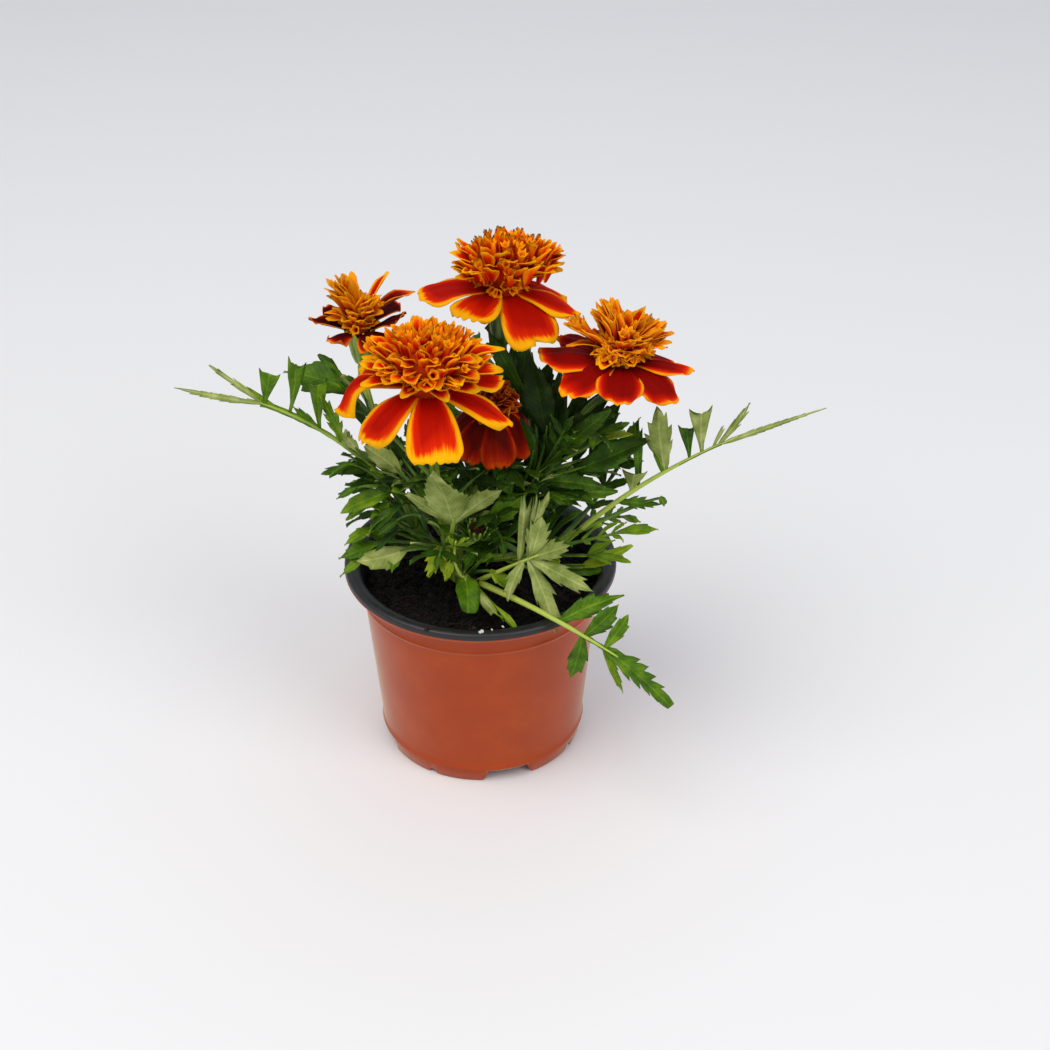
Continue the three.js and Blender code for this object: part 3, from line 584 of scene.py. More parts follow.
rayValues = ("bearing", "length", "width", "droop", "gold", "lobes")
rayDefaults = {"peak": 0.78, "tipWidth": 0.7, "round": 0.12, "curl": 0, "cleft": 0, "hook": 0, "tipDrop": 0}
strapValues = ("bearing", "reach", "height", "width", "curl")
strapDefaults = {"curl": 0.03, "material": 2, "redness": 1.2}
tuftValues = ("lean", "length", "count", "spread")
crestDefaults = {"spread": 80, "square": 2.2, "upright": 0.2, "centre": 0.3, "low": 0.6, "back": 0, "aside": 0,
                 "collar": 0}
heads = {
    "a": {
        "stem": "a", "mouth": (-17, -32, 170), "facing": (0.06, -0.1, 1), "calyx": 15, "mouthRadius": 5,
        "tint": -0.1,
        "crest": {"reach": 24, "height": 25.5, "florets": 185, "spread": 98, "square": 2.35, "upright": 0.6,
                  "centre": 0.4, "back": 0.12, "dark": 0.8, "darkShare": 0.3, "redness": 1.1},
        "straps": [(352, 25, 13, 8, 0.25), (16, 26, 16, 8, 0.2), (322, 22, 10.5, 7, 0.25), (206, 23, 9.5, 7, 0.3),
                   (172, 22, 11, 7, 0.2), (250, 19, 10, 5.5, 0.3), (290, 19, 9, 6, 0.3)],
        "rays": [
            (186, 35, 10, -4, 2.2, 1, {"hook": 3, "tipDrop": 13, "round": 0.2}), (233, 33, 14, 8, 2.8, 3),
            (280, 31, 19.5, 12, 3.0, 4, {"round": 0.06, "peak": 0.85, "tipWidth": 0.84}),
            (333, 34, 12, 5, 2.8, 1, {"peak": 0.6, "tipWidth": 0.34, "round": 0.1}),
            (14, 28, 12, 1, 2.2, 2), (58, 28, 15, 9, 2.4, 3), (104, 28, 15, 9, 2.4, 2), (148, 28, 14, 6, 2.4, 3),
        ],
    },
    "b": {
        "stem": "main", "mouth": (9, 12, 186), "facing": (0, -0.04, 1), "calyx": 21, "mouthRadius": 5.5,
        "tint": -0.32, "taper": 0.5,
        "crest": {"reach": 19.5, "height": 24.5, "florets": 132, "square": 4.5, "upright": 1.5, "back": 0.35,
                  "aside": 1.5, "collar": 22, "dark": 1.0, "darkShare": 0.6, "redness": 1.3},
        "straps": [(272, 18, 25, 8, 0.02), (305, 20, 21, 7, 0.06), (236, 19, 17, 7, 0.15), (254, 17, 20, 6, 0.1),
                   (205, 20, 20, 7, 0.02), (218, 20, 13, 6, 0.15), (290, 17, 14, 5.5, 0.2),
                   (330, 21, 15, 7, 0.2, {"material": 0}), (348, 21.5, 12, 7, 0.15, {"material": 0})],
        "rays": [
            (190, 31, 18, 1, 2.2, 2, {"curl": 1.2}), (240, 27, 18.5, 1, 3.6, 3),
            (298, 30, 21, 10, 3.0, 2, {"cleft": 4, "tipWidth": 0.8}),
            (335, 31, 12, 5, 2.8, 1, {"peak": 0.62, "tipWidth": 0.45}), (20, 25, 14, 9.5, 2.6, 3),
            (63, 28, 15, 6, 2.6, 2), (106, 28, 15, 6, 2.6, 3), (148, 26, 15, 9, 2.6, 2),
        ],
    },
    "c": {
        "stem": "c", "mouth": (51, -5, 166), "facing": (0.08, -0.06, 1), "calyx": 14, "mouthRadius": 4.8,
        "tint": -0.35,
        "crest": {"reach": 13, "height": 13, "florets": 70, "upright": 0.1, "centre": 0.25, "low": 0.9,
                  "dark": 0.7, "darkShare": 0.3, "redness": 1.5, "collar": 34},
        "tufts": [((-0.95, 0, 0.72), 25, 10, 4), ((-0.3, 0.1, 1), 23.5, 15, 5), ((0.05, 0.25, 1), 18, 7, 4),
                  ((0.75, 0.05, 0.85), 21, 17, 6), ((0.1, -0.45, 0.9), 17, 11, 4.5),
                  ((0.55, -0.45, 0.8), 17, 9, 4.5), ((-0.3, 0.75, 0.7), 20, 12, 6), ((0.5, 0.7, 0.7), 20, 12, 6)],
        "straps": [(15, 7, 23, 5.5)],
        "rays": [
            (186, 30, 18, -1, 2.2, 2, {"peak": 0.7, "curl": -1.4}),
            (225, 30, 16.5, 4.6, 2.2, 3, {"curl": 0.9, "round": 0.26, "peak": 0.68}),
            (268, 29, 17, 2.3, 2.1, 2, {"round": 0.3, "peak": 0.66}),
            (312, 29.5, 15.5, 4.4, 1.7, 2, {"round": 0.28, "peak": 0.7}),
            (342, 27.5, 10.5, -1.5, 1.9, 1, {"peak": 0.62, "tipWidth": 0.4}),
            (24, 24, 13, 7, 1.4, 2, {"round": 0.2}), (66, 26, 14, 3, 1.4, 3, {"round": 0.2}),
            (106, 26, 14, 3, 1.4, 2, {"round": 0.2}), (148, 26, 14, 1, 1.4, 2, {"round": 0.2}),
        ],
    },
    "d": {
        "stem": "d", "mouth": (-44, 22, 165), "facing": (-0.1, -0.04, 1), "calyx": 13, "mouthRadius": 5.4,
        "tint": 0.15, "taper": 0.55,
        "crest": {"reach": 8, "height": 8, "florets": 22, "square": 2.0, "centre": 0.2, "low": 0.9,
                  "dark": 0.8, "darkShare": 0.4, "redness": 0.9},
        "tufts": [((-0.2, -0.05, 1), 22.5, 18, 5.2), ((-0.75, -0.15, 0.8), 14, 4, 3),
                  ((0.45, -0.2, 0.85), 16.5, 15, 4.6), ((-0.1, -0.45, 0.8), 12, 7, 4), ((0, 0.6, 0.8), 14, 12, 6)],
        "straps": [(20, 14, 21.5, 7, {"redness": 1.5}), (110, 7, 14, 7, {"material": 0, "redness": 2}),
                   (8, 21, 15, 7.5, 0.25, {"material": 0})],
        "rays": [
            (192, 18, 7.5, -7, 0.7, 1, {"peak": 0.55, "tipWidth": 0.3, "curl": 2.4}),
            (228, 16, 9, -1, 1.5, 1, {"curl": -1.6, "round": 0.25}),
            (302, 16.5, 14, 1.5, 1.6, 2, {"curl": -1.0}), (340, 20, 8.5, -7, 0.8, 2, {"curl": 0.6}),
            (40, 19, 9, -2, 0.6, 1, {"curl": 1.2}), (90, 17, 9, -5, 0.6, 1, {"curl": 1.0}),
            (142, 17, 9, -4, 0.6, 1, {"curl": 1.4}),
        ],
    },
    "e": {
        "stem": "e", "mouth": (5, -5, 146), "facing": (0.1, -0.25, 1), "calyx": 13, "mouthRadius": 4.5,
        "tint": -0.2,
        "crest": {"reach": 11.5, "height": 13, "florets": 75, "spread": 92, "low": 0.7,
                  "dark": 0.9, "darkShare": 0.6, "redness": 1.4},
        "rays": [
            (195, 16, 10, 12.6, 1.2, 2, {"round": 0.2}), (240, 18, 12, 14, 1.6, 2, {"round": 0.2, "curl": -1.6}),
            (285, 18, 13.5, 14, 1.8, 3, {"curl": -1.8}), (334, 17, 11, 16, 1.4, 1, {"round": 0.2}),
            (28, 16, 11, 12, 0.9, 2, {"round": 0.2}),
        ],
    },
}


def petalMaterial(name, stops, rootColour, rootShare, streak=0.5, glow=0.05):
    # Velvet of a petal: the colour runs inwards from a bright margin and breaks up in streaks
    material, tree, across, reach, tint, depth, dark = startMaterial(name, {
        "Roughness": 0.6, "IOR": 1.4, "Specular IOR Level": 0.06, "Subsurface Weight": glow,
        "Subsurface Radius": (0.0024, 0.0007, 0.0002),
    }, ["across", "reach", "tint", "depth", "dark"])
    stretched = [addNode(tree, "Math", {"operation": "MULTIPLY", 0: value, 1: scale})
                 for value, scale in ((across, 1.3), (reach, 2.2), (tint, 37.0))]
    place = addNode(tree, "CombineXYZ", dict(enumerate(stretched)))
    streaks = addNode(tree, "TexNoise", {"Scale": 1.0, "Detail": 4.0, "Roughness": 0.6, "Vector": place})
    swing = addNode(tree, "Math", {"operation": "MULTIPLY_ADD", 0: streaks, 1: streak, 2: -streak / 2})
    inward = addNode(tree, "Math", {"operation": "MULTIPLY_ADD", 0: depth, 1: 1 / 3, 2: swing})
    colours = addNode(tree, "ValToRGB", {"Fac": inward}, stops)
    # Towards its root a petal turns to its root colour. This is partly its real red throat, and in the crests partly
    # painted shade of the deep gaps between florets
    nearRoot = addNode(tree, "MapRange", {"From Max": rootShare, "To Min": 1.0, "To Max": 0.0, "Value": reach})
    deep = addNode(tree, "Mix", {"data_type": "RGBA", 0: nearRoot, 6: colours, 7: rootColour})
    tipped = addNode(tree, "Mix", {"data_type": "RGBA", 0: dark, 6: deep.outputs[2], 7: "#340a04"})
    level = addNode(tree, "MapRange", {"To Min": 0.82, "To Max": 1.12, "Value": tint})
    final = addNode(tree, "HueSaturation", {"Color": tipped.outputs[2], "Value": level})
    return finishMaterial(material, final.outputs[0], streaks, 0.35, 0.25)


flameStops = [(0.2, "#f4ae08"), (0.29, "#f29402"), (0.37, "#e85600"), (0.46, "#d22400"), (0.95, "#aa0e00")]
crimsonStops = [(0.16, "#f29c08"), (0.24, "#ea6404"), (0.36, "#d22a01"), (0.58, "#ae1000"), (1.0, "#7c0501")]
maroonStops = [(0.12, "#e88a0c"), (0.24, "#d04006"), (0.4, "#941204"), (0.62, "#600806"), (1.0, "#400406")]
rustStops = [(0.1, "#d04a08"), (0.24, "#b42c04"), (0.5, "#921602"), (1.0, "#560a02")]
goldStops = [(0.12, "#f6a008"), (0.26, "#f48604"), (0.4, "#f05e02"), (0.54, "#e23801"), (0.85, "#bc1601")]
ochreStops = [(0.12, "#ee9c12"), (0.3, "#e47c08"), (0.45, "#da5204"), (0.62, "#b82803"), (1.0, "#7a0c02")]
tuftRustStops = [(0.1, "#a84c06"), (0.3, "#842804"), (0.6, "#580e02"), (1.0, "#320401")]
backStops = [(0.05, "#f2a418"), (0.3, "#e27a10"), (0.6, "#cc4c12"), (1.0, "#a83012")]
darkBackStops = [(0.05, "#b85a14"), (0.3, "#8e2a10"), (1.0, "#6a1010")]
budStops = [(0.1, "#5c4420"), (0.35, "#2e1614"), (1.0, "#180a10")]

petals = {
    "flame": petalMaterial("flamePetal", flameStops, "#8c0c06", 0.18),
    "crimson": petalMaterial("crimsonPetal", crimsonStops, "#4c0408", 0.45, 0.3),
    "maroon": petalMaterial("maroonPetal", maroonStops, "#30040c", 0.4, 0.3),
    "rust": petalMaterial("fadedPetal", rustStops, "#3c0806", 0.4, 0.4),
    "goldTuft": petalMaterial("goldTuftPetal", goldStops, "#a82404", 0.4, 0.6, 0.25),
    "rustTuft": petalMaterial("rustTuftPetal", tuftRustStops, "#4c0a06", 0.5, 0.4),
    "ochreTuft": petalMaterial("ochreTuftPetal", ochreStops, "#841c06", 0.5, 0.4, 0.2),
    "back": petalMaterial("petalBack", backStops, "#b0541c", 0.3, 0.4),
    "darkBack": petalMaterial("darkPetalBack", darkBackStops, "#5a1410", 0.3, 0.3),
    "bud": petalMaterial("closedBudPetal", budStops, "#180a10", 0.3),
}
headLooks = {                   # the materials of the rays, of the crest and of the backs
    "a": ("flame", "goldTuft", "back"), "b": ("flame", "goldTuft", "back"), "c": ("crimson", "ochreTuft", "back"),
    "d": ("maroon", "ochreTuft", "darkBack"), "e": ("rust", "rustTuft", "darkBack"),
}


def addRay(sheet, head, ray, draw):
    # `u` runs from the root to the tip and `s` from side to side
    length, width, lobes, gold, peak = (ray[key] for key in ("length", "width", "lobes", "gold", "peak"))
    bearing, root = math.radians(ray["bearing"]), head["mouthRadius"] * 0.6
    direction = np.array([math.cos(bearing), math.sin(bearing), 0])
    sideways = np.array([-direction[1], direction[0], 0])
    u = np.linspace(0, 1, 21)[:, None]
    s = np.linspace(-1, 1, 19)[None, :]
    widening = 0.26 + 0.74 * np.sin(math.pi / 2 * np.minimum(u / peak, 1)) ** 1.15
    narrowing = 1 - (1 - ray["tipWidth"]) * (np.maximum(u - peak, 0) / (1 - peak)) ** 2
    half = np.where(u < peak, widening, narrowing) * width / 2
    phase = draw.uniform(0, 6)
    gap = 1 - np.abs(np.sin(lobes * math.pi * (s + 1) / 2)) ** 0.6
    short = ray["round"] * s ** 2 * u ** 3 + (1.3 if lobes > 1 else 0.8) / length * gap * u ** 9
    short = short + ray["cleft"] / length * np.exp(-(s / 0.16) ** 2) * u ** 5
    run = root + (length - root) * (u - short) - 0.25 * ray["tipDrop"] * smoothStep(0.7, 1, u)
    ruffle = 0.7 * np.sin(9 * u + 3 * s + phase) * np.abs(s) ** 3 * u
    tipWave = 0.55 * np.sin(fullTurn * s * max(lobes, 1.5) / 1.4 + phase) * u ** 5
    pleat = 0.22 * np.cos(s * math.pi * 3 + phase * 0.2) * np.sin(math.pi * u)
    arch = 1.2 + 1.8 * np.sin(math.pi * np.minimum(u, 0.7)) - ray["droop"] * u ** 1.6
    trough = ray["curl"] * s ** 2 * np.sin(math.pi * u) - s ** 2 * 1.3 * u
    height = arch + ruffle + tipWave + pleat + trough - ray["tipDrop"] * smoothStep(0.55, 1, u) ** 1.5
    across = s * half
    points = layOut(0, (direction, run), (sideways, across + ray["hook"] * u ** 3), ((0, 0, 1), height))
    toSide = (1 - np.abs(s)) * half / (gold * (0.2 + 0.65 * u ** 1.2))
    toTip = (1 - u) * (length - root) / gold * (1 + 0.3 * np.cos(s * 2.5 + phase))
    values = {"depth": np.minimum(np.minimum(toSide, toTip), 3), "reach": u, "across": across,
              "tint": draw.random()}
    addGrid(sheet, toHead(points, head), headTurn(head) @ [0, 0, 1], values)


def addAlong(sheet, head, start, direction, along, across, out, values, material, closed):
    # One floret, from how far its points lie along it, across it and out of its face
    side = np.cross(direction, [0, 0, 1.0])
    side = np.array([1.0, 0, 0]) if np.linalg.norm(side) < 0.05 else unit(side)
    face = unit(np.cross(side, direction))
    points = toHead(layOut(start, (direction, along), (side, across), (face, out)), head)
    loop = points[3]
    outward = loop[len(loop) // 2 + 1] - loop.mean(axis=0) if closed else headTurn(head) @ face
    addGrid(sheet, points, outward, values, closed, material)


def addPaddle(sheet, head, start, direction, length, width, draw, material, curl=0.0, dark=0.0, redness=1.0):
    # A small trough-shaped petal, its hollow side towards the middle of the head
    v = np.linspace(0, 1, 8)[:, None]
    s = np.linspace(-1, 1, 7)[None, :]
    broad = 0.3 + 0.7 * np.sin(math.pi / 2 * np.minimum(v / 0.72, 1)) - 0.45 * smoothStep(0.72, 1, v)
    trough = draw.uniform(0.35, 0.75)
    twist = draw.uniform(-0.35, 0.35) * v
    wave = 0.3 * np.sin(5 * v + 4 * s + draw.uniform(0, 6)) * v
    flat = s * broad * width / 2
    lift = trough * width / 2 * s ** 2 * broad + wave - curl * length * v ** 2.2
    across, out = twisted(flat, lift, twist)
    values = {"depth": np.minimum((1 - np.abs(s)) * 3.8, (1 - v) * 5) * redness, "reach": 0.25 + 0.75 * v,
              "across": flat * 2, "tint": draw.random(),
              "dark": dark * smoothStep(0.86, 1, v) * (1 - 0.5 * np.abs(s))}
    along = length * (v - 0.14 * s ** 2 * v ** 3)
    addAlong(sheet, head, start, direction, along, across, out, values, material, False)


def addTrumpet(sheet, head, start, direction, length, radius, draw, material, dark=0.0):
    # A small tube floret that opens in five pointed lobes
    v = np.linspace(0, 1, 6)[:, None]
    angle = allRound(15)[None, :] + draw.uniform(0, 2)
    lobe = 0.5 + 0.5 * np.cos(5 * angle)
    reach = radius * (0.34 + 0.2 * v + 0.6 * v ** 4 * (0.4 + 0.6 * lobe))
    along = length * v * (1 - 0.16 * (1 - lobe) * v ** 3) * (1 - 0.07 * v ** 6)
    values = {"depth": (1 - v) * 2.4 + 0.25 * (1 - lobe), "reach": 0.3 + 0.7 * v, "across": angle * 1.5,
              "tint": draw.random(), "dark": dark * smoothStep(0.9, 1, v) * lobe}
    across, out = np.cos(angle) * reach, np.sin(angle) * reach
    addAlong(sheet, head, start, direction, along, across, out, values, material, True)


def addSpike(sheet, head, start, direction, length, radius, draw, material, dark):
    # A tube floret that is still closed, with a dark point
    v = np.linspace(0, 1, 7)[:, None]
    angle = allRound(7)[None, :]
    reach = radius * (0.45 + 0.55 * np.sin(math.pi * v ** 1.3)) * (1 - 0.75 * smoothStep(0.8, 1, v))
    bow = draw.uniform(-0.08, 0.14) * length * v ** 2
    values = {"depth": 0.6 + (1 - v) * 1.6 + 0.3 * np.cos(angle * 2), "reach": 0.3 + 0.7 * v, "across": angle,
              "tint": draw.random(), "dark": dark * smoothStep(0.84, 0.97, v)}
    across, out = np.cos(angle) * reach, np.sin(angle) * reach - bow
    addAlong(sheet, head, start, direction, length * v, across, out, values, material, True)


floretZones = [                 # the top of a crest, its shoulder, and its lowest ring with the largest petals
    {"spikes": 0.24, "trumpets": 0.46, "mouth": 0.0, "widths": (2.2, 3.8), "curls": (-0.1, 0.14)},
    {"spikes": 0.04, "trumpets": 0.22, "mouth": 0.3, "widths": (3.2, 5.8), "curls": (-0.12, 0.34)},
    {"spikes": 0.0, "trumpets": 0.08, "mouth": 0.6, "widths": (4.6, 7.6), "curls": (0.05, 0.42)},
]


def addFloret(sheet, head, tip, direction, length, draw, number, redness, dark):
    start, kind, zone = tip - direction * length, draw.random(), floretZones[number]
    if kind < zone["spikes"]:
        addSpike(sheet, head, start, direction, length, draw.uniform(0.7, 1.0), draw, 1, dark)
    elif kind < zone["trumpets"]:
        addTrumpet(sheet, head, start, direction, length, draw.uniform(1.2, 1.9) + zone["mouth"], draw, 1, dark)
    else:
        curl = draw.uniform(*zone["curls"])
        material = 2 if number == 2 and draw.random() < 0.6 else 1
        addPaddle(sheet, head, start, direction, length, draw.uniform(*zone["widths"]), draw, material, curl,
                  0.0 if number else dark, redness * draw.uniform(0.6, 1.25))


def crestTip(crest, lean):
    # How far the tips stand from the crest's centre: a dome, drawn in again under its widest ring
    tall, power = crest["height"] * (1 - crest["centre"]), crest["square"]
    upward, sideways = max(math.cos(lean), 0) / tall, math.sin(lean) / crest["reach"]
    under = smoothStep(1.3, max(math.radians(crest["spread"]), 1.31), lean)
    return (upward ** power + sideways ** power) ** (-1 / power) * (1 - (1 - crest["low"]) * under)


def addCrest(sheet, head, crest, draw):
    centre = np.array([crest["aside"], 0, crest["height"] * crest["centre"]])
    core = []
    for lean in np.linspace(0.03, math.pi * 0.8, 12):
        reach = 0.55 * crestTip(crest, lean)
        core.append(ring(allRound(24), reach * math.sin(lean), reach * math.cos(lean)) + centre)
    core = toHead(np.maximum(core, [-1000, -1000, 0.5]), head)
    values = {"depth": 1.2, "reach": 0.1, "tint": 0.3}
    addGrid(sheet, core, core[4, 12] - core[4].mean(axis=0), values, True, 1)
    for i in range(crest["florets"]):
        share = (i + 0.5) / crest["florets"]
        lean = share ** 0.56 * math.radians(crest["spread"]) * draw.uniform(0.93, 1.05)
        radial = leaning(lean, i * goldenAngle + draw.uniform(-0.2, 0.2))
        zone = 0 if lean < 0.85 else 1 if lean < 1.25 else 2
        reach = crestTip(crest, lean) * draw.uniform(0.76, 1.04)
        jitter = np.array([draw.uniform(-1, 1) for _ in range(3)])
        direction = unit(radial + [0, 0, crest["upright"]] + jitter * 0.3)
        dark = crest["dark"] if draw.random() < crest["darkShare"] else 0.0
        tip = centre + radial * reach + jitter * 0.8
        tip[2] = max(tip[2] - crest["back"] * tip[1], 1.5)
        length = min(reach * 0.75, draw.uniform(8, 12))
        addFloret(sheet, head, tip, direction, length, draw, zone, crest["redness"], dark)
    for i in range(crest["collar"]):
        turn = fullTurn * (i + draw.uniform(-0.2, 0.2)) / crest["collar"]
        direction = unit([math.cos(turn), math.sin(turn), draw.uniform(0.1, 0.7)])
        length, radius = draw.uniform(5.5, 8.0), draw.uniform(1.3, 2.3)
        addTrumpet(sheet, head, [0, 0, 2.4] + direction * 3.5, direction, length, radius, draw, 1)


def addTuft(sheet, head, tuft, draw):
    # A bundle of long florets that lean one way together
    lean, crest, spread = unit(tuft["lean"]), head["crest"], tuft["spread"]
    side = unit(np.cross(lean, [0, 0, 1.0]))
    face = unit(np.cross(side, lean))
    for i in range(tuft["count"]):
        out, turn = math.sqrt((i + 0.5) / tuft["count"]), i * goldenAngle
        offset = (side * math.cos(turn) + face * math.sin(turn)) * out * spread
        tip = lean * tuft["length"] * (1.06 - 0.28 * out ** 2 * draw.uniform(0.5, 1.2)) + offset
        direction = unit(lean * 1.6 + offset / spread * 0.45)
        dark = crest["dark"] if draw.random() < 0.6 else 0.0
        length, zone = tuft["length"] * draw.uniform(0.5, 0.72), 0 if out < 0.25 else 1
        addFloret(sheet, head, tip + [0, 0, 1.5], direction, length, draw, zone, crest["redness"] * 0.75, dark)


def addStrap(sheet, head, strap, draw):
    turn = math.radians(strap["bearing"])
    tip = np.array([math.cos(turn) * strap["reach"], math.sin(turn) * strap["reach"], strap["height"]])
    start = tip * [0.25, 0.25, 0.4]
    addPaddle(sheet, head, start, unit(tip - start + [0, 0, strap["curl"] * 12]), np.linalg.norm(tip - start),
              strap["width"], draw, strap["material"], strap["curl"], 0.0, strap["redness"])


def makeHeads():
    for name, head in heads.items():
        draw, sheet = random.Random(40 + ord(name)), newSheet()
        for row in head["rays"]:
            addRay(sheet, head, {**rayDefaults, **named(rayValues, row)}, draw)
        for row in head.get("straps", []):
            addStrap(sheet, head, {**strapDefaults, **named(strapValues, row)}, draw)
        addCrest(sheet, head, {**crestDefaults, **head["crest"]}, draw)
        for row in head.get("tufts", []):
            addTuft(sheet, head, named(tuftValues, row), draw)
        ray, tuft, back = (petals[look] for look in headLooks[name])
        looks = [ray, tuft, petals["flame"], back, tuft, petals["flame"]]
        makePiece(f"head{name.upper()}", sheet, looks, [f"head_{name}"], thickness=0.3)
        print("head", name, "made")


def makeStems():
    for name, stem in stems.items():
        head = next((one for one in heads.values() if one["stem"] == name), None)
        points, tint, sheet = list(stem["points"]), head["tint"] if head else 0.1, newSheet()
        if head:
            points.append(np.array(head["mouth"]) - unit(head["facing"]) * head["calyx"])
        blend = np.interp(np.linspace(0, 1, 60), [0, 0.5, 1], [0.12, 0.0, tint])[:, None]
        addTube(sheet, curveThrough(points, 60), stem["radii"], 28, {"tint": blend}, ribs=7, ribDepth=0.05)
        if head:
            addCalyx(sheet, head, stem["radii"][1], tint)
        makePiece(f"stem{name.capitalize()}", sheet, [stalk], [f"stem_{name}"])
    print("stems made")


makeStems()
makeHeads()


# The leaves. Each is cut to its rib into toothed leaflets: `base` is the point of its stem that it
# springs from, `mid` a point half way along the rib, `up` the way its upper face looks. Pairs of
# leaflets stand between `from` and `to`, the longest `size` long; `tint` runs from dark to bright.
# Leaflets that stand clear are placed one by one; `t` is where they leave the rib, and the teeth of
# one are a number, or the name of its outline.

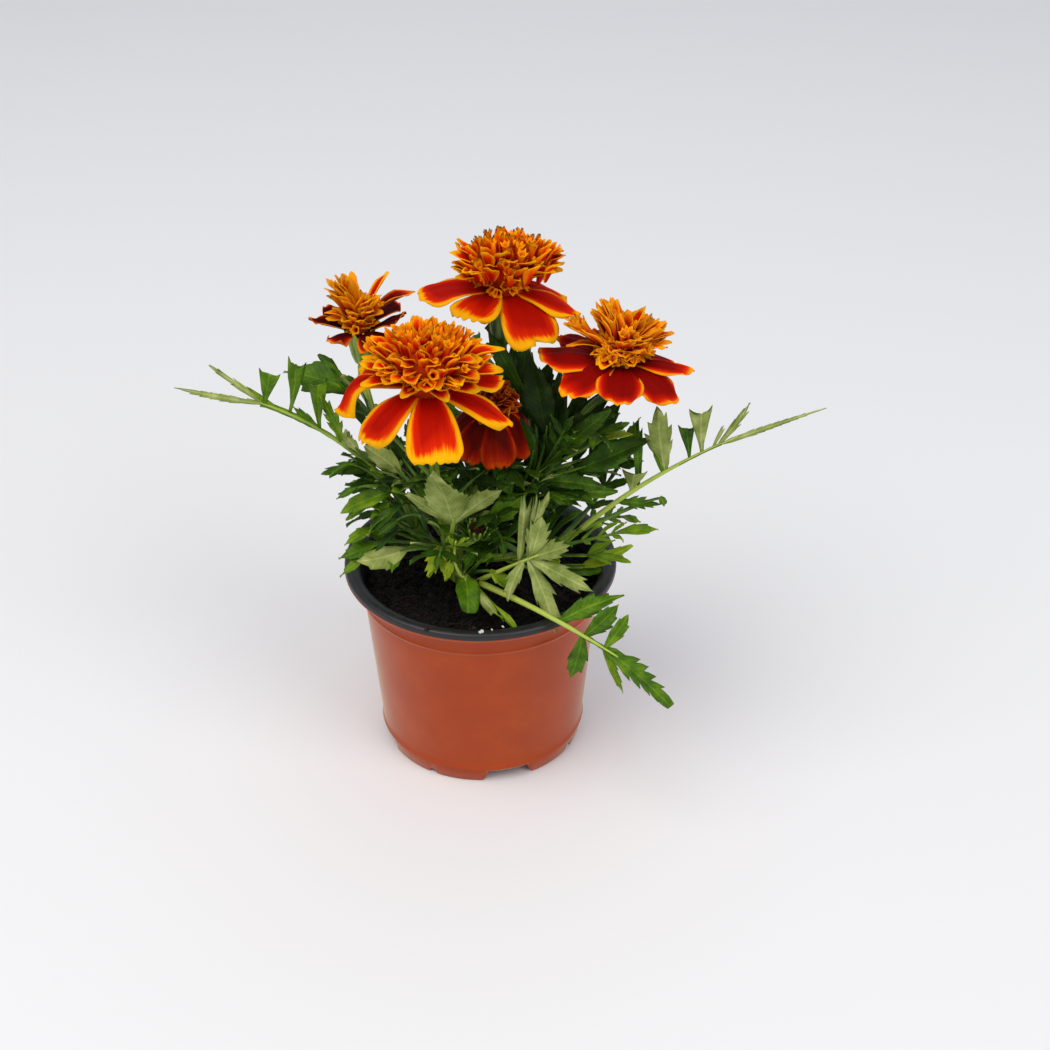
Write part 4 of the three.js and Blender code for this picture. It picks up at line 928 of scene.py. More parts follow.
leafDefaults = {
    "up": (0, 0, 1), "pairs": 3, "size": 15, "broad": 0.34, "lift": 15, "sweep": 40, "from": 0.3, "to": 0.66,
    "end": 0.36, "sag": 0.12, "fold": 0.3, "tint": -0.25, "teeth": 2, "toothDepth": 0.11, "peak": 0.45,
    "loose": 1, "ribTint": -0.2, "ribRadius": 0.95, "wing": 0.9,
}
leafValues = ("stem", "base", "mid", "tip")
leafletValues = ("t", "tip", "width", "teeth", "up")
leaves = {
    "far_left": ("d", (-31, -4, 114), (-69, 2, 141), (-113, 8, 149), {
        "tint": 0.12, "to": 0.62, "ribTint": 0.15, "ribRadius": 1.1, "wing": 1.4, "up": (0, -0.9, 0.5),
        "sag": 0.02, "toothDepth": 0.26,
        "leaflets": [
            (0.62, (-76, 4, 158), 8.2, "horned"), (0.51, (-63.5, 2, 163), 6.8, "horned"),
            (0.37, (-60, -1, 156), 6.8, "horned"), (0.26, (-55, -2, 152), 5.6, 3, {"toothDepth": 0.4}),
            (0.22, (-50, -4, 138), 4.4, 2, (0, 1, -0.3)), (0.37, (-69, 3, 143), 3.6, 2),
            (0.62, (-98, 4, 161), 2.6, 2, (0, 0.9, -0.5), {"peak": 0.35, "sag": 0.06}),
            (0.55, (-86, 5, 150), 2.2, 1),
            (0.62, (-112.8, 6.0, 148.4), 2.8, 5, (0, 0.9, -0.5), {"peak": 0.4, "sag": -0.06, "loose": 0.3}),
            (0.16, (-58, -8, 120), 5.2, 2, {"toothDepth": 0.5, "tint": -0.2}),
        ]}),
    "far_right": ("right", (37, -8, 96), (76, -8, 127), (126.5, -8, 151), {
        "tint": -0.1, "to": 0.63, "ribTint": 0.4, "ribRadius": 1.15, "sag": 0.02, "toothDepth": 0.26,
        "leaflets": [
            (0.27, (57, -9, 123), 9.4, "horned", (0, 1, -0.3)),
            (0.42, (63, -8, 149), 10.4, 3, (0.2, 1, -0.3), {"peak": 0.55}),
            (0.41, (65, -5, 134), 4.4, 1, (0.3, -1, 0.3)),
            (0.57, (79.5, -9, 149), 8.4, "horned", (0, 1, -0.3)),
            (0.52, (76.5, -6, 141), 6, "horned", (0.3, -1, 0.3)),
            (0.63, (100, -8, 150), 2.8, 2, (0, 1, -0.4)), (0.61, (90, -8, 142), 1.8, 1, (0, 1, -0.4)),
            (0.2, (68, -10, 109), 5.6, 3, (0, -0.5, 0.9), {"toothDepth": 0.4, "loose": 0.3}),
            (0.3, (60, -2, 140), 4.2, 1, (0.2, -1, 0.3), {"tint": -0.3}),
            (0.63, (126.2, -8.0, 150.0), 2.5, 7, (0, 1, -0.2), {"peak": 0.25, "sag": 0, "loose": 0.1}),
        ]}),
    "over_rim": ("front", (0, -23, 83), (35, -52, 82), (72, -64, 61), {
        "up": (0.2, -0.8, 0.8), "to": 0.64, "sag": 0.05, "tint": -0.02, "ribTint": 0.42, "ribRadius": 1.3,
        "toothDepth": 0.17, "peak": 0.5,
        "leaflets": [
            (0.42, (52, -43, 94), 8.0, 3), (0.55, (52, -50, 90), 7.6, 3, {"peak": 0.55}),
            (0.65, (55, -55, 90), 5.6, 2, {"peak": 0.55}), (0.54, (36, -55, 62), 7.6, 2),
            (0.64, (54, -60, 60), 3.3, 2, {"tint": 0.5, "peak": 0.45}),
            (0.64, (72, -62, 58), 10.5, 4, {"toothDepth": 0.38}),
        ]}),
    "centre_pale": ("a", (-12, -11, 98), (-9, -27, 116), (-12, -36, 142), {
        "up": (0, 0.9, 0.1), "to": 0.34, "ribTint": 0.3, "toothDepth": 0.14,
        "leaflets": [
            (0.33, (-30, -23, 127), 4.8, 2, {"peak": 0.4}), (0.35, (8, -24, 129), 7.6, 3, {"peak": 0.6}),
            (0.34, (-13, -34, 141), 17, 6, {"peak": 0.44, "toothDepth": 0.1}),
        ]}),
    "right_pale": ("front", (-1, -20, 81), (15, -35, 100), (35, -40, 113), {
        "up": (-0.2, 0.9, -0.3), "to": 0.6, "ribTint": 0.42, "toothDepth": 0.26, "peak": 0.5,
        "leaflets": [
            (0.5, (18.5, -36, 132), 4.6, 1, {"peak": 0.45}), (0.59, (22, -38, 134), 4.2, 2, {"peak": 0.45}),
            (0.6, (23, -36, 131), 3.6, 1, {"peak": 0.45}), (0.61, (25, -37, 122), 9.5, 3, {"peak": 0.55}),
            (0.61, (35, -37, 109), 7.6, 3), (0.6, (42, -38, 91), 7.4, 2), (0.59, (31, -40, 75), 7.8, 2),
            (0.55, (9, -38, 87), 6.0, 2),
        ]}),
    "left_mid": ("d", (-27, -5, 102), (-37, -9, 109), (-50, -14, 106),
                 {"up": (0, -0.3, 1), "tint": 0.1, "pairs": 1, "size": 14}),
    "left_low": ("d", (-20, -5, 90), (-36, -15, 92), (-53, -22, 87),
                 {"up": (0, -0.3, 1), "size": 16, "tint": 0.05, "pairs": 1}),
    "upper_left": ("d", (-40, 9, 137), (-57, 12, 153), (-76, 18, 153), {
        "to": 0.3, "tint": -0.3, "sag": 0.16,
        "leaflets": [
            # The large leaflet is lighter than the rest of its leaf. This is partly its own paler green and partly a
            # painted sheen of its waxy upper face
            (0.25, (-70, 12, 158), 14, 4, (0.15, -0.6, 0.8), {"tint": -0.02, "toothDepth": 0.06, "peak": 0.5}),
            (0.2, (-65, 8, 150), 4.6, 1), (0.15, (-48, 4, 158), 5.6, 2), (0.2, (-58, 16, 160), 5, 2),
        ]}),
    "c_left": ("c", (21, 0, 113), (20, 12, 134), (17, 14, 154),
               {"up": (0, -0.6, 0.5), "pairs": 2, "sweep": 45, "tint": -0.6}),
    "c_right": ("c", (32, 2, 132), (40, -6, 139), (50, -16, 137), {"pairs": 2, "tint": -0.3}),
    "right_mid": ("c", (24, 1, 118), (42, 0, 124), (60, 3, 128), {"up": (0, -0.3, 1), "tint": -0.6}),
    "right_up": ("right", (30, -8, 92), (48, 6, 108), (61, 9, 134),
                 {"up": (-0.6, -0.5, 0.6), "size": 14, "tint": -0.2}),
    "feathery": ("right", (20, -8, 86), (42, -19, 100), (66, -20, 107),
                 {"pairs": 4, "size": 10, "broad": 0.26, "tint": 0.1}),
    "right_rim": ("right", (12, -7, 84), (34, -12, 88), (57, -17, 90), {"pairs": 2, "tint": 0.35}),
    "mid_dark_left": ("a", (-12, -13, 100), (-24, -18, 110), (-36, -26, 106),
                      {"size": 13, "pairs": 1, "tint": -0.4}),
    "left_dark_high": ("d", (-30, -5, 111), (-40, -14, 120), (-52, -20, 119),
                       {"size": 13, "pairs": 1, "tint": -0.4}),
    "front_dark": ("c", (2, -2, 95), (7, -13, 99), (10, -24, 96), {"size": 9, "tint": -0.5}),
    "right_fine": ("right", (35, -8, 95), (48, 0, 97), (62, 4, 94), {"size": 9, "broad": 0.3, "tint": 0.1}),
    "c_low": ("c", (8, -2, 99), (27, -12, 112), (42, -18, 116), {"size": 11, "tint": -0.5}),
    "small_front": ("a", (-10, -6, 86), (-15, -17, 95), (-22, -27, 86), {
        "to": 0.46, "tint": 0.95, "ribTint": 0.3,
        "leaflets": [
            (0.45, (-19, -26, 88), 6.5, 2, {"toothDepth": 0.4}), (0.45, (-19, -27, 95), 4.0, 2),
            (0.4, (-12, -26, 97), 5.0, 2), (0.4, (-13, -28, 90), 4.0, 2),
        ]}),
    "round_front": ("front", (-3, -15, 78), (-5, -27, 87), (-4, -41, 80), {
        "to": 0.4, "tint": 0.15, "ribTint": 0.2,
        "leaflets": [
            (0.42, (-3, -40, 82), 9, "round", (0, -0.5, 0.9), {"tint": -0.05}),
            (0.36, (8, -44, 78), 3.2, 1, (-0.2, 0.6, -0.6)), (0.38, (14, -44, 79), 1.9, 1, {"tint": 0.4}),
        ]}),
    "back_left_high": ("main", (0, 9, 118), (-20, 27, 128), (-44, 42, 124)),
    "back_right_high": ("main", (5, 17, 134), (24, 34, 136), (44, 46, 126)),
    "back_middle": ("main", (-4, 3, 104), (-3, 34, 116), (-6, 64, 108)),
    "back_right_low": ("main", (-6, 0, 97), (22, 24, 102), (46, 44, 92)),
    "back_left_low": ("d", (-18, -5, 88), (-34, 18, 98), (-50, 38, 92)),
    "back_top": ("main", (9, 22, 147), (-3, 35, 152), (-17, 45, 147), {"size": 11}),
    "back_right_mid": ("main", (-3, 5, 108), (18, 27, 118), (37, 42, 113)),
    "back_left_mid": ("d", (-32, -3, 116), (-41, 14, 115), (-50, 31, 107), {"size": 11}),
    "c_up": ("c", (24, 1, 119), (29, -8, 134), (34, -12, 148),
             {"up": (-0.3, -0.7, 0.4), "size": 10, "tint": -0.5}),
}


def leafMaterial(name, face, stops):
    settings = {"Subsurface Weight": 0.05, "Subsurface Radius": (0.0006, 0.001, 0.0002), **face["finish"]}
    reads = ["place", "across", "along", "tint"]
    material, tree, place, across, along, tint = startMaterial(name, settings, reads)
    blotch = addNode(tree, "TexNoise", {"Scale": 1 / (face["blotch"] * mm), "Detail": 3.0, "Vector": place})
    # The veins: the midrib, and side veins that run forward from it every 2.2 mm
    aside = addNode(tree, "Math", {"operation": "ABSOLUTE", 0: across})
    ahead = addNode(tree, "Math", {"operation": "MULTIPLY_ADD", 0: aside, 1: -1.1, 2: along})
    wave = addNode(tree, "Math", {"operation": "MULTIPLY", 0: ahead, 1: fullTurn / 2.2})
    wave = addNode(tree, "Math", {"operation": "SINE", 0: wave})
    side = addNode(tree, "MapRange", {"From Min": 0.72, "From Max": 1.0, "To Max": 0.55, "Value": wave})
    middle = addNode(tree, "MapRange", {"From Min": 0.45, "From Max": 0.12, "Value": aside})
    vein = addNode(tree, "Math", {"operation": "MAXIMUM", 0: side, 1: middle})
    tone = face["base"]
    for value, share in zip((blotch, tint, vein), face["shares"]):
        tone = addNode(tree, "Math", {"operation": "MULTIPLY_ADD", 0: value, 1: share, 2: tone})
    colours = addNode(tree, "ValToRGB", {"Fac": tone}, stops)
    return finishMaterial(material, colours.outputs[0], vein, *face["bump"])


# Upper face: dark waxy green with a soft sheen and slightly paler veins
topFace = {"finish": {"Roughness": 0.5, "IOR": 1.42, "Specular IOR Level": 0.22}, "blotch": 5, "base": 0.2,
           "shares": (0.6, 0.5, 0.13), "bump": (0.4, 0.2)}
topStops = [(0.1, "#182d04"), (0.34, "#2e4f07"), (0.52, "#4b720c"), (0.74, "#789814"), (0.96, "#a4ba28")]
leafTop = leafMaterial("waxyLeafTop", topFace, topStops)
# Under face: matt grey-green, its veins standing out pale
underFace = {"finish": {"Roughness": 0.62, "Specular IOR Level": 0.2}, "blotch": 6, "base": 0.0,
             "shares": (1.0, 0.0, 0.18), "bump": (0.5, 0.25)}
underStops = [(0.3, "#69792f"), (0.55, "#8f9d50"), (0.8, "#b2bb70"), (1.0, "#ccd294")]
leafBack = leafMaterial("mattLeafUnderside", underFace, underStops)

# Stations of half a leaflet: how far along, how far out, and how far the margin leans forward
leafletOutlines = {
    "horned": [(0, 0.14, 0), (0.2, 0.22, 0), (0.45, 0.48, 0), (0.68, 0.74, 0.02), (0.84, 0.94, 0.08),
               (0.9, 1.0, 0.14), (0.91, 0.7, 0.02), (0.92, 0.3, 0)],
    "round": [(0, 0.2, 0), (0.08, 0.55, 0), (0.2, 0.86, 0), (0.4, 1.0, 0), (0.62, 0.98, 0.03), (0.8, 0.86, 0.06),
              (0.92, 0.6, 0.05), (0.97, 0.1, 0)],
}
footWidth = 0.14                # of a leaflet, as a share of its full width


def envelope(u, peak):
    before = footWidth + (1 - footWidth) * math.sin(math.pi / 2 * min(u / peak, 1))
    return before if u < peak else max(0.02, 1 - ((u - peak) / (1 - peak)) ** 1.55)


def toothedOutline(teeth, depth, peak):
    start, stop = (0.42 if peak > 0.55 else 0.26), 0.8
    step, early = (stop - start) / teeth, start * 0.5
    found = [(0.0, footWidth, 0.0), (early, envelope(early, peak) * 0.92, 0.0)]
    for i in range(teeth):
        u, half = start + i * step, start + (i + 0.5) * step
        found.append((u, max(footWidth, envelope(u, peak) * (1 - depth)), 0.0))
        found.append((half, max(footWidth, envelope(half, peak) * (1 - 0.3 * depth)), 0.1 * step))
        point = envelope(u + 0.72 * step, peak) * (1 + 0.12 * depth)
        found.append((u + 0.78 * step, point, min(0.5, 1.8 * depth) * step))
    return found + [(stop, envelope(stop, peak) * (1 - 0.6 * depth), 0.0), (0.91, envelope(0.91, peak), 0.0),
                    (1.0, 0.02, 0.0)]


def addLeaflet(sheet, origin, ahead, aside, out, length, width, style, draw):
    outline = leafletOutlines.get(style["teeth"])
    if not outline:
        teeth = max(1, round(style["teeth"] * min(1, length / 13 + 0.25)))
        outline = toothedOutline(teeth, style["toothDepth"], style["peak"])
    u, broad, lean = np.array(outline, float).T[:, :, None]
    s = np.array([-1, -0.68, -0.32, 0, 0.32, 0.68, 1])[None, :]
    side = np.abs(s)
    bend, twist = (draw.uniform(-most, most) * style["loose"] for most in (0.14, 0.5))
    wave, phase = draw.uniform(0.03, 0.09) * style["loose"], draw.uniform(0, 6)
    flat = s * broad * width / 2
    rise = np.abs(flat) * style["fold"] * 1.6 * (1 - 0.5 * side) - style["sag"] * length * u ** 2
    rise = rise + wave * length * np.sin(7 * u + phase + 1.4 * s) * side * u ** 0.5
    across, upward = twisted(flat + bend * length * u ** 2, rise, twist * u)
    along = length * (u + lean * side ** 3)
    values = {"along": along, "across": flat, "tint": style["tint"] + draw.uniform(-0.14, 0.14)}
    addGrid(sheet, layOut(origin, (ahead, along), (aside, across), (out, upward)), out, values)


def leafRoot(leaf):
    # The point of the stem's bark that the leaf springs from
    stem = stems[leaf["stem"]]
    path = curveThrough(stem["points"], 120)
    near = int(np.argmin(np.linalg.norm(path - np.array(leaf["base"]), axis=1)))
    axis, along = path[near], unit(np.gradient(path, axis=0)[near])
    heading = np.array(leaf["mid"]) - axis
    if near < 118:
        heading = heading - np.dot(heading, along) * along
    return axis + unit(heading) * np.interp(near / 119, [0, 1], stem["radii"]) * 0.8


def addLeaf(sheet, leaf, draw):
    leaf = {**leafDefaults, **leaf}
    root = np.array(leaf["root"], float) if "root" in leaf else leafRoot(leaf)
    tip, mid, up = (np.array(leaf[key], float) for key in ("tip", "mid", "up"))
    knee = 2 * mid - (root + tip) / 2

    def point(t):
        return (1 - t) ** 2 * root + 2 * t * (1 - t) * knee + t * t * tip

    def slope(t):
        return unit(2 * (1 - t) * (knee - root) + 2 * t * (tip - knee))

    run = sum(np.linalg.norm(point((i + 1) / 40) - point(i / 40)) for i in range(40))
    pairs, size, first, last = leaf["pairs"], leaf["size"], leaf["from"], leaf["to"]
    pairs = 0 if "leaflets" in leaf else pairs
    pitch = (last - first) * run / (pairs - 1) if pairs > 1 else size
    widest, fork = min(size * leaf["broad"], 0.98 * pitch), last + 1.5 / run
    places = np.linspace(first, last, pairs)
    thick, rib = leaf["ribRadius"], [point(t) for t in np.linspace(0, min(fork + 0.06, 0.98), 26)]
    addTube(sheet, rib, np.array([1, 0.85, 0.68, 0.5, 0.15 / thick]) * thick, 8, {"tint": leaf["ribTint"]},
            ribs=2, ribDepth=0.12, material=1)

    # The narrow wings of the rib
    strip = []
    for t in np.linspace(0.5 * (first if pairs else fork), fork, 14):
        half = leaf["wing"] * (0.3 + 0.7 * smoothStep(0, 1, t / fork)) * draw.uniform(0.8, 1.15)
        across = unit(np.cross(up, slope(t))) * half
        strip.append([point(t) - across, point(t), point(t) + across])
    addGrid(sheet, strip, up, {"across": 1.0, "tint": leaf["tint"] + 0.1})

    for i, t in enumerate(places):
        share = i / (pairs - 1) if pairs > 1 else 0.5
        length = size * (0.72 + 0.28 * math.sin(math.pi * (0.25 + 0.6 * share)))
        along = slope(t)
        across = unit(np.cross(up, along))
        out = np.cross(along, across)
        for side in (-1, 1):
            outward = turned(side * across, out, leaf["lift"] + draw.uniform(-7, 7))
            face = unit(turned(out, -side * across, leaf["lift"]))
            sweep = leaf["sweep"] + draw.uniform(-6, 6)
            ahead, aside = turned(outward, along, sweep), turned(along, -outward, sweep)
            own = length * draw.uniform(0.88, 1.1)
            start = point(t + draw.uniform(-0.012, 0.012))
            addLeaflet(sheet, start, unit(ahead), unit(aside), face, own, widest * own / size, leaf, draw)
    for row in leaf.get("leaflets", []):
        own = {**leaf, **named(leafletValues, row)}
        start = point(own["t"])
        ahead = unit(own["tip"] - start)
        aside = unit(np.cross(own["up"], ahead))
        length = np.linalg.norm(own["tip"] - start)
        addLeaflet(sheet, start, ahead, aside, np.cross(ahead, aside), length, own["width"], own, draw)
    if "leaflets" in leaf:
        return
    origin = point(fork)
    reach, along = np.linalg.norm(tip - origin), unit(tip - origin)
    across = unit(np.cross(up, along))
    ending = {**leaf, "teeth": leaf["teeth"] * max(1.0, reach / 22)}
    addLeaflet(sheet, origin - along * 0.8, along, across, np.cross(along, across), reach + 0.8,
               max(reach * leaf["end"], 3.4), ending, draw)

# Smaller blades between the larger leaves, so that the plant is as dense as it grows. A row gives the stem and
# the point that a blade springs from, the pixels of the photograph that show its middle and its tip, how far
# behind the pot's axis the two stand, where the blade starts along its rib, how wide it looks, in pixels, its
# tint, and where it isn't level the way its upper face looks.

bladeValues = ("stem", "base", "seenMid", "seenTip", "depths", "to", "seenWidth", "tint", "up")
smooth = {"toothDepth": 0.1}
fillLeaves = {
    "left_low": [
        ("d", (-20, -5, 90), (394, 491), (340, 512), (-12, -18), 0.5, 22, 0.3, (0.1, -0.7, 0.9),
         {"toothDepth": 0.06}),
        ("d", (-19, -5, 89), (375, 512), (345, 522), (-8, -12), 0.45, 14, -0.5),
        ("d", (-18, -5, 88), (378, 529), (343, 540), (-12, -18), 0.5, 18, 0.1),
        ("a", (-12, -12, 92), (384, 542), (339, 558), (-14, -20), 0.5, 22, -0.05, {"teeth": 3}),
        ("a", (-11, -10, 88), (409, 549), (358, 569), (-20, -26), 0.5, 28, -0.25, (0, 0.6, -0.6)),
    ],
    "left_mid": [
        ("d", (-24, -5, 98), (404, 503), (363, 530), (-16, -22), 0.45, 18, -0.4),
        ("d", (-22, -5, 94), (398, 530), (372, 546), (-18, -24), 0.4, 15, -0.5),
        ("d", (-28, -5, 104), (362, 487), (338, 491), (-8, -10), 0.4, 12, -0.5),
        ("a", (-14, -16, 106), (398, 470), (366, 444), (-16, -12), 0.45, 26, -0.25, (0.2, 0.7, -0.4)),
        ("d", (-24, -5, 98), (380, 500), (364, 533), (-16, -22), 0.3, 21, 0.0),
    ],
    "left_dark_high": [
        ("d", (-31, -4, 115), (365, 466), (344, 452), (-6, -6), 0.4, 14, -0.5),
        ("d", (-30, -4, 112), (352, 464), (328, 474), (-8, -12), 0.5, 10, 0.0),
        ("d", (-33, -2, 120), (360, 452), (345, 436), (-4, -2), 0.5, 12, -0.25, (0, 0.7, -0.3)),
    ],
    "upper_left": [
        ("d", (-36, 2, 127), (366, 402), (352, 375), (0, 0), 0.4, 18, -0.5),
        ("d", (-36, 2, 127), (364, 425), (348, 398), (2, 4), 0.3, 21, -0.6),
        ("a", (-15, -19, 126), (380, 425), (352, 402), (-8, -6), 0.45, 22, -0.5),
    ],
    "mid_dark_left": [
        ("a", (-14, -17, 115), (400, 455), (385, 425), (-8, -6), 0.4, 21, -0.5),
        ("a", (-13, -14, 104), (405, 500), (384, 476), (-14, -12), 0.45, 21, -0.3),
        ("d", (-20, -5, 90), (392, 519), (372, 500), (-14, -14), 0.4, 18, 0.2),
        ("a", (-13, -14, 104), (425, 478), (408, 450), (4, 8), 0.3, 24, -0.5),
        ("d", (-20, -5, 90), (405, 470), (395, 440), (6, 8), 0.3, 24, -0.6),
        ("d", (-20, -5, 90), (372, 478), (352, 462), (0, 2), 0.3, 21, -0.5),
    ],
    "front_dark": [
        ("main", (-6, 0, 97), (492, 520), (526, 494), (-14, -14), 0.4, 26, -0.1, (0.2, -0.7, 0.6)),
        ("c", (0, -2, 93), (505, 540), (530, 512), (-16, -16), 0.4, 17, -0.2),
        ("main", (-7, -1, 93), (462, 540), (432, 520), (-20, -22), 0.4, 16, -0.3),
        ("main", (-8, -2, 90), (440, 545), (415, 528), (-20, -24), 0.4, 16, -0.4),
        ("main", (-6, 0, 97), (447, 480), (446, 452), (6, 8), 0.3, 23, -0.4),
        ("main", (-6, 0, 97), (462, 484), (470, 462), (4, 6), 0.3, 21, -0.6),
        ("front", (-6, -10, 77), (495, 572), (510, 590), (-30, -34), 0.4, 17, 0.3),
        ("front", (-5, -12, 77), (482, 560), (500, 552), (-26, -28), 0.4, 13, 0.1),
    ],
    "c_low": [
        ("c", (8, -2, 99), (524, 478), (514, 452), (-3, -3), 0.3, 19, -0.6, (0.1, -0.8, 0.6)),
        ("c", (12, -2, 103), (540, 468), (540, 428), (2, 2), 0.3, 27, -0.6, (0.1, -0.8, 0.6)),
        ("c", (6, -2, 97), (500, 492), (508, 462), (2, 4), 0.3, 21, -0.6),
        ("c", (10, -2, 101), (540, 500), (530, 470), (2, 4), 0.3, 21, -0.6),
        ("c", (6, -2, 97), (512, 480), (492, 458), (-16, -16), 0.3, 22, -0.35, (0.3, -0.8, 0.4), smooth),
        ("c", (10, -2, 101), (528, 488), (545, 462), (-12, -10), 0.3, 20, -0.5, smooth),
    ],
    "small_front": [
        ("a", (-10, -6, 84), (440, 556), (426, 576), (-22, -26), 0.5, 14, 0.75),
        ("a", (-10, -6, 82), (452, 560), (446, 582), (-24, -28), 0.5, 12, 0.6),
    ],
    "c_left": [
        ("c", (14, -1, 105), (534, 440), (514, 417), (-8, -6), 0.3, 22, -0.5, (-0.3, -0.9, 0.3), smooth),
        ("c", (21, 0, 113), (548, 410), (532, 352), (-2, 2), 0.3, 34, -0.75, (-0.2, -0.9, 0.3), smooth),
        ("c", (21, 0, 113), (530, 400), (482, 331), (2, 6), 0.45, 18, -0.5, (-0.5, -0.6, 0.5), smooth),
        ("main", (3, 13, 126), (534, 395), (556, 376), (8, 12), 0.4, 24, -0.6),
        ("c", (21, 0, 113), (562, 428), (566, 374), (0, 4), 0.2, 28, -0.7, (-0.1, -0.9, 0.4), smooth),
        ("c", (21, 0, 113), (578, 432), (592, 386), (2, 6), 0.2, 24, -0.7, (-0.1, -0.9, 0.4), smooth),
        ("main", (2, 11, 122), (520, 440), (516, 395), (10, 12), 0.3, 30, -0.7, (-0.1, -0.9, 0.4)),
        ("main", (3, 13, 126), (516, 394), (514, 345), (8, 10), 0.3, 24, -0.55, (0, -0.9, 0.4)),
        ("main", (3, 13, 126), (545, 402), (549, 362), (6, 9), 0.3, 24, -0.6, (0.1, -0.9, 0.4)),
        ("c", (28, 1, 124), (572, 426), (580, 389), (3, 6), 0.2, 30, -0.55, (0, -0.9, 0.4)),
        ("main", (3, 13, 126), (532, 385), (526, 342), (9, 12), 0.3, 26, -0.5, (0, -0.9, 0.4)),
        ("main", (4, 15, 130), (517, 368), (521, 346), (13, 15), 0.4, 14, -0.25, (0, 0.9, -0.4)),
    ],
    "right_mid": [
        ("c", (22, 0, 115), (590, 470), (622, 470), (4, 6), 0.3, 21, -0.5),
        ("c", (22, 0, 115), (585, 455), (600, 425), (4, 6), 0.3, 21, -0.6),
        ("c", (22, 0, 115), (612, 458), (652, 443), (-10, -12), 0.2, 25, -0.3, (0, -0.8, 0.7),
         {"toothDepth": 0.14, "teeth": 3}),
        ("c", (16, -1, 107), (566, 474), (604, 481), (-12, -14), 0.25, 20, -0.45, (0, -0.7, 0.7), smooth),
        ("c", (25, 1, 120), (606, 438), (632, 430), (-4, -4), 0.4, 21, 0.5),
        ("c", (12, -2, 103), (556, 492), (580, 505), (-12, -16), 0.35, 20, -0.1),
        ("c", (12, -2, 103), (575, 488), (618, 494), (-8, -8), 0.35, 21, 0.1, (0, -0.5, 0.9)),
    ],
    "c_up": [
        ("c", (24, 1, 118), (570, 442), (606, 411), (-12, -14), 0.3, 22, -0.25, (-0.2, -0.8, 0.6),
         {"toothDepth": 0.08}),
        ("c", (28, 1, 124), (586, 432), (600, 393), (-4, -2), 0.2, 30, -0.7, (-0.2, -0.9, 0.4), smooth),
        ("c", (28, 1, 124), (606, 432), (614, 400), (0, 2), 0.3, 23, -0.5, (0.2, -0.9, 0.4)),
    ],
    "c_right": [("c", (30, 2, 129), (592, 418), (618, 408), (0, 2), 0.4, 20, -0.5)],
    "right_up": [("right", (37, -8, 96), (652, 500), (664, 506), (-9, -12), 0.6, 12, 0.1)],
    "right_rim": [
        ("right", (14, -7, 84), (585, 566), (632, 551), (-12, -14), 0.45, 17, 0.55, (0, -0.6, 0.8)),
        ("right", (10, -6, 83), (560, 575), (600, 572), (-10, -12), 0.4, 16, 0.0, (0, -0.5, 0.8)),
    ],
}
extraLeaves = {
    "round_front": [
        {"stem": "front", "root": (-1, -22, 82), "mid": (-8, -26, 91), "tip": (-8, -27, 105), "to": 0.9,
         "ribTint": 0.5, "ribRadius": 0.8, "wing": 0.5, "tint": 0.5,
         "leaflets": [(0.9, (-4, -28, 107), 2.6, 1), (0.85, (-10, -26, 106), 2.4, 1)]},
    ],
}
scatter = {
    "count": 36, "stems": ("main", "a", "c", "d", "right", "main", "c"), "share": (0.12, 0.62), "lowest": 84,
    "reach": (26, 38), "front": 0.62, "climb": (4, 20), "widest": 45, "bow": (2, 6), "size": (15, 21),
    "tint": (-0.7, -0.1),
}


def seenAt(pixel, depth):
    # The point, in millimetres, that the camera sees at a pixel when it stands this far behind the axis
    down, middle = math.radians(photoView["downDegrees"]), photoView["pictureSide"] / 2
    ahead, right = np.array([0, math.cos(down), -math.sin(down)]), np.array([1.0, 0, 0])
    offset = (pixel[0] - middle) * right - (pixel[1] - middle) * np.cross(right, ahead)
    ray, eye = ahead + offset / photoView["focalPixels"], np.array(photoView["place"]) / mm
    return eye + ray * (depth - eye[1]) / ray[1]


def fillBlade(row):
    blade = named(bladeValues, row)
    mid, tip = seenAt(blade["seenMid"], blade["depths"][0]), seenAt(blade["seenTip"], blade["depths"][1])
    away = np.linalg.norm(mid - np.array(photoView["place"]) / mm)
    reach = np.linalg.norm(tip - mid) * (1 - blade["to"]) / 0.5
    width = blade["seenWidth"] * away / photoView["focalPixels"]
    return {**blade, "mid": mid, "tip": tip, "pairs": 0, "end": min(width / max(reach, 1), 0.8)}


def scatteredLeaves():
    # Leaves that fill the middle of the plant, each with the piece that it grows closest to
    draw, found = random.Random(77), {}
    centres = {name: np.array(row[2], float) for name, row in leaves.items()}
    for i in range(scatter["count"]):
        stem = scatter["stems"][i % len(scatter["stems"])]
        path = curveThrough(stems[stem]["points"], 60)
        base = path[int(draw.uniform(*scatter["share"]) * 59)]
        base = path[30] if base[2] < scatter["lowest"] else base
        turn = i * goldenAngle
        reach = draw.uniform(*scatter["reach"]) * (scatter["front"] if math.sin(turn) < -0.1 else 1)
        tip = base + [math.cos(turn) * reach, math.sin(turn) * reach, draw.uniform(*scatter["climb"])]
        tip[:2] /= max(1.0, math.hypot(tip[0], tip[1]) / scatter["widest"])
        mid = (base + tip) / 2 + [0, 0, draw.uniform(*scatter["bow"])]
        leaf = {"stem": stem, "base": base, "mid": mid, "tip": tip, "pairs": 2, "from": 0.4, "broad": 0.3,
                "end": 0.46, "size": draw.uniform(*scatter["size"]), "tint": draw.uniform(*scatter["tint"]),
                "up": (draw.uniform(-0.3, 0.3), -0.3, 1)}
        near = min(centres, key=lambda name: np.linalg.norm(centres[name] - mid))
        found.setdefault(near, []).append(leaf)
    return found


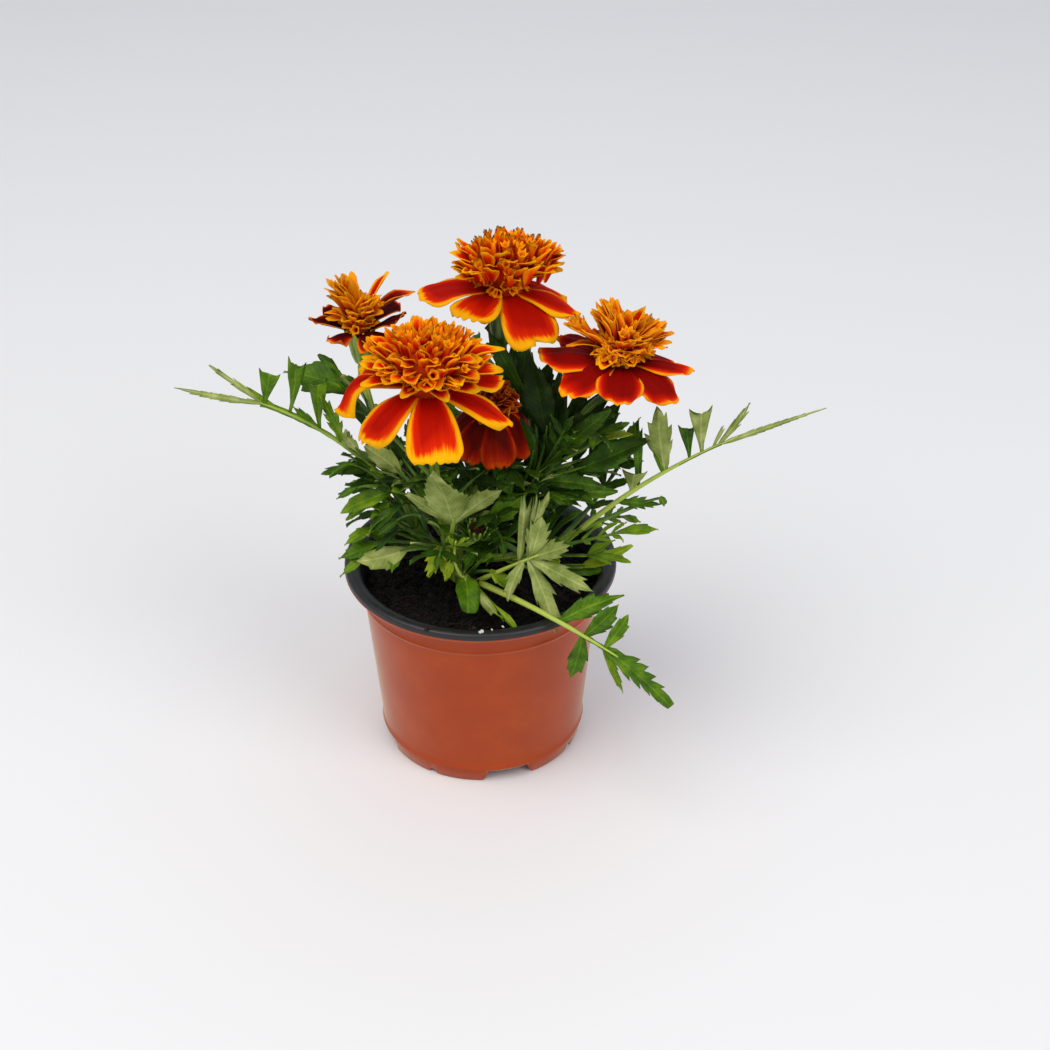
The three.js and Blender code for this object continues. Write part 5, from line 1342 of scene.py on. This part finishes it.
def makeLeaves():
    scattered = scatteredLeaves()
    for number, (name, row) in enumerate(leaves.items()):
        draw, sheet = random.Random(300 + number), newSheet()
        blades = [fillBlade(blade) for blade in fillLeaves.get(name, [])]
        for leaf in [named(leafValues, row), *blades, *extraLeaves.get(name, []), *scattered.get(name, [])]:
            addLeaf(sheet, leaf, draw)
        title = "leaf" + name.title().replace("_", "")
        makePiece(title, sheet, [leafTop, stalk, leafBack, stalk], [f"leaf_{name}"], thickness=0.28)
    print("leaves made")


makeLeaves()


# The bud: dark folded petals in a green cup, with fine bracts round it

bud = {
    "stalk": [(-11.5, -10.5, 95), (-6, -17, 96), (-1.5, -21, 101)], "stalkRadii": (1.1, 1.0),
    "mouth": (-0.5, -22, 106), "facing": (0.15, -0.35, 1), "calyx": 5, "mouthRadius": 3.4, "petals": 26,
    "bracts": 9,
    "bractStyle": {"teeth": 2, "toothDepth": 0.2, "peak": 0.4, "sag": -0.15, "fold": 0.3, "tint": -0.1, "loose": 1},
}


def makeBud():
    draw, cup, folded, bracts = random.Random(5), newSheet(), newSheet(), newSheet()
    foot = np.array(bud["mouth"]) - unit(bud["facing"]) * (bud["calyx"] + 0.8)
    path = curveThrough([*bud["stalk"], foot], 24)
    addTube(cup, path, bud["stalkRadii"], 16, {"tint": 0.1}, ribs=5, ribDepth=0.05)
    addCalyx(cup, bud, 1.0, -0.1)
    makePiece("budCup", cup, [stalk], ["bud"])
    for i in range(bud["petals"]):
        outward, turn = math.sqrt((i + 0.5) / bud["petals"]), i * goldenAngle
        start = np.array([math.cos(turn), math.sin(turn), 0]) * outward * 1.9
        addSpike(folded, bud, start, leaning(outward * 0.5, turn), 3.2 - outward * 1.2, 0.6, draw, 0, 1.0)
    makePiece("budPetals", folded, [petals["bud"]], ["bud"])
    for i in range(bud["bracts"]):
        turn = fullTurn * i / bud["bracts"] + draw.uniform(-0.2, 0.2)
        direction = unit([math.cos(turn), math.sin(turn), draw.uniform(0.1, 0.9)])
        start = toHead([[math.cos(turn) * 2.4, math.sin(turn) * 2.4, -4.2]], bud)[0]
        aside = unit(np.cross(unit(bud["facing"]), direction))
        length, out = draw.uniform(6, 9.5), unit(np.cross(direction, aside))
        addLeaflet(bracts, start, direction, aside, out, length, 1.6, bud["bractStyle"], draw)
    makePiece("budBracts", bracts, [leafTop, leafBack], ["bud"], thickness=0.22)


makeBud()
print("bud made")
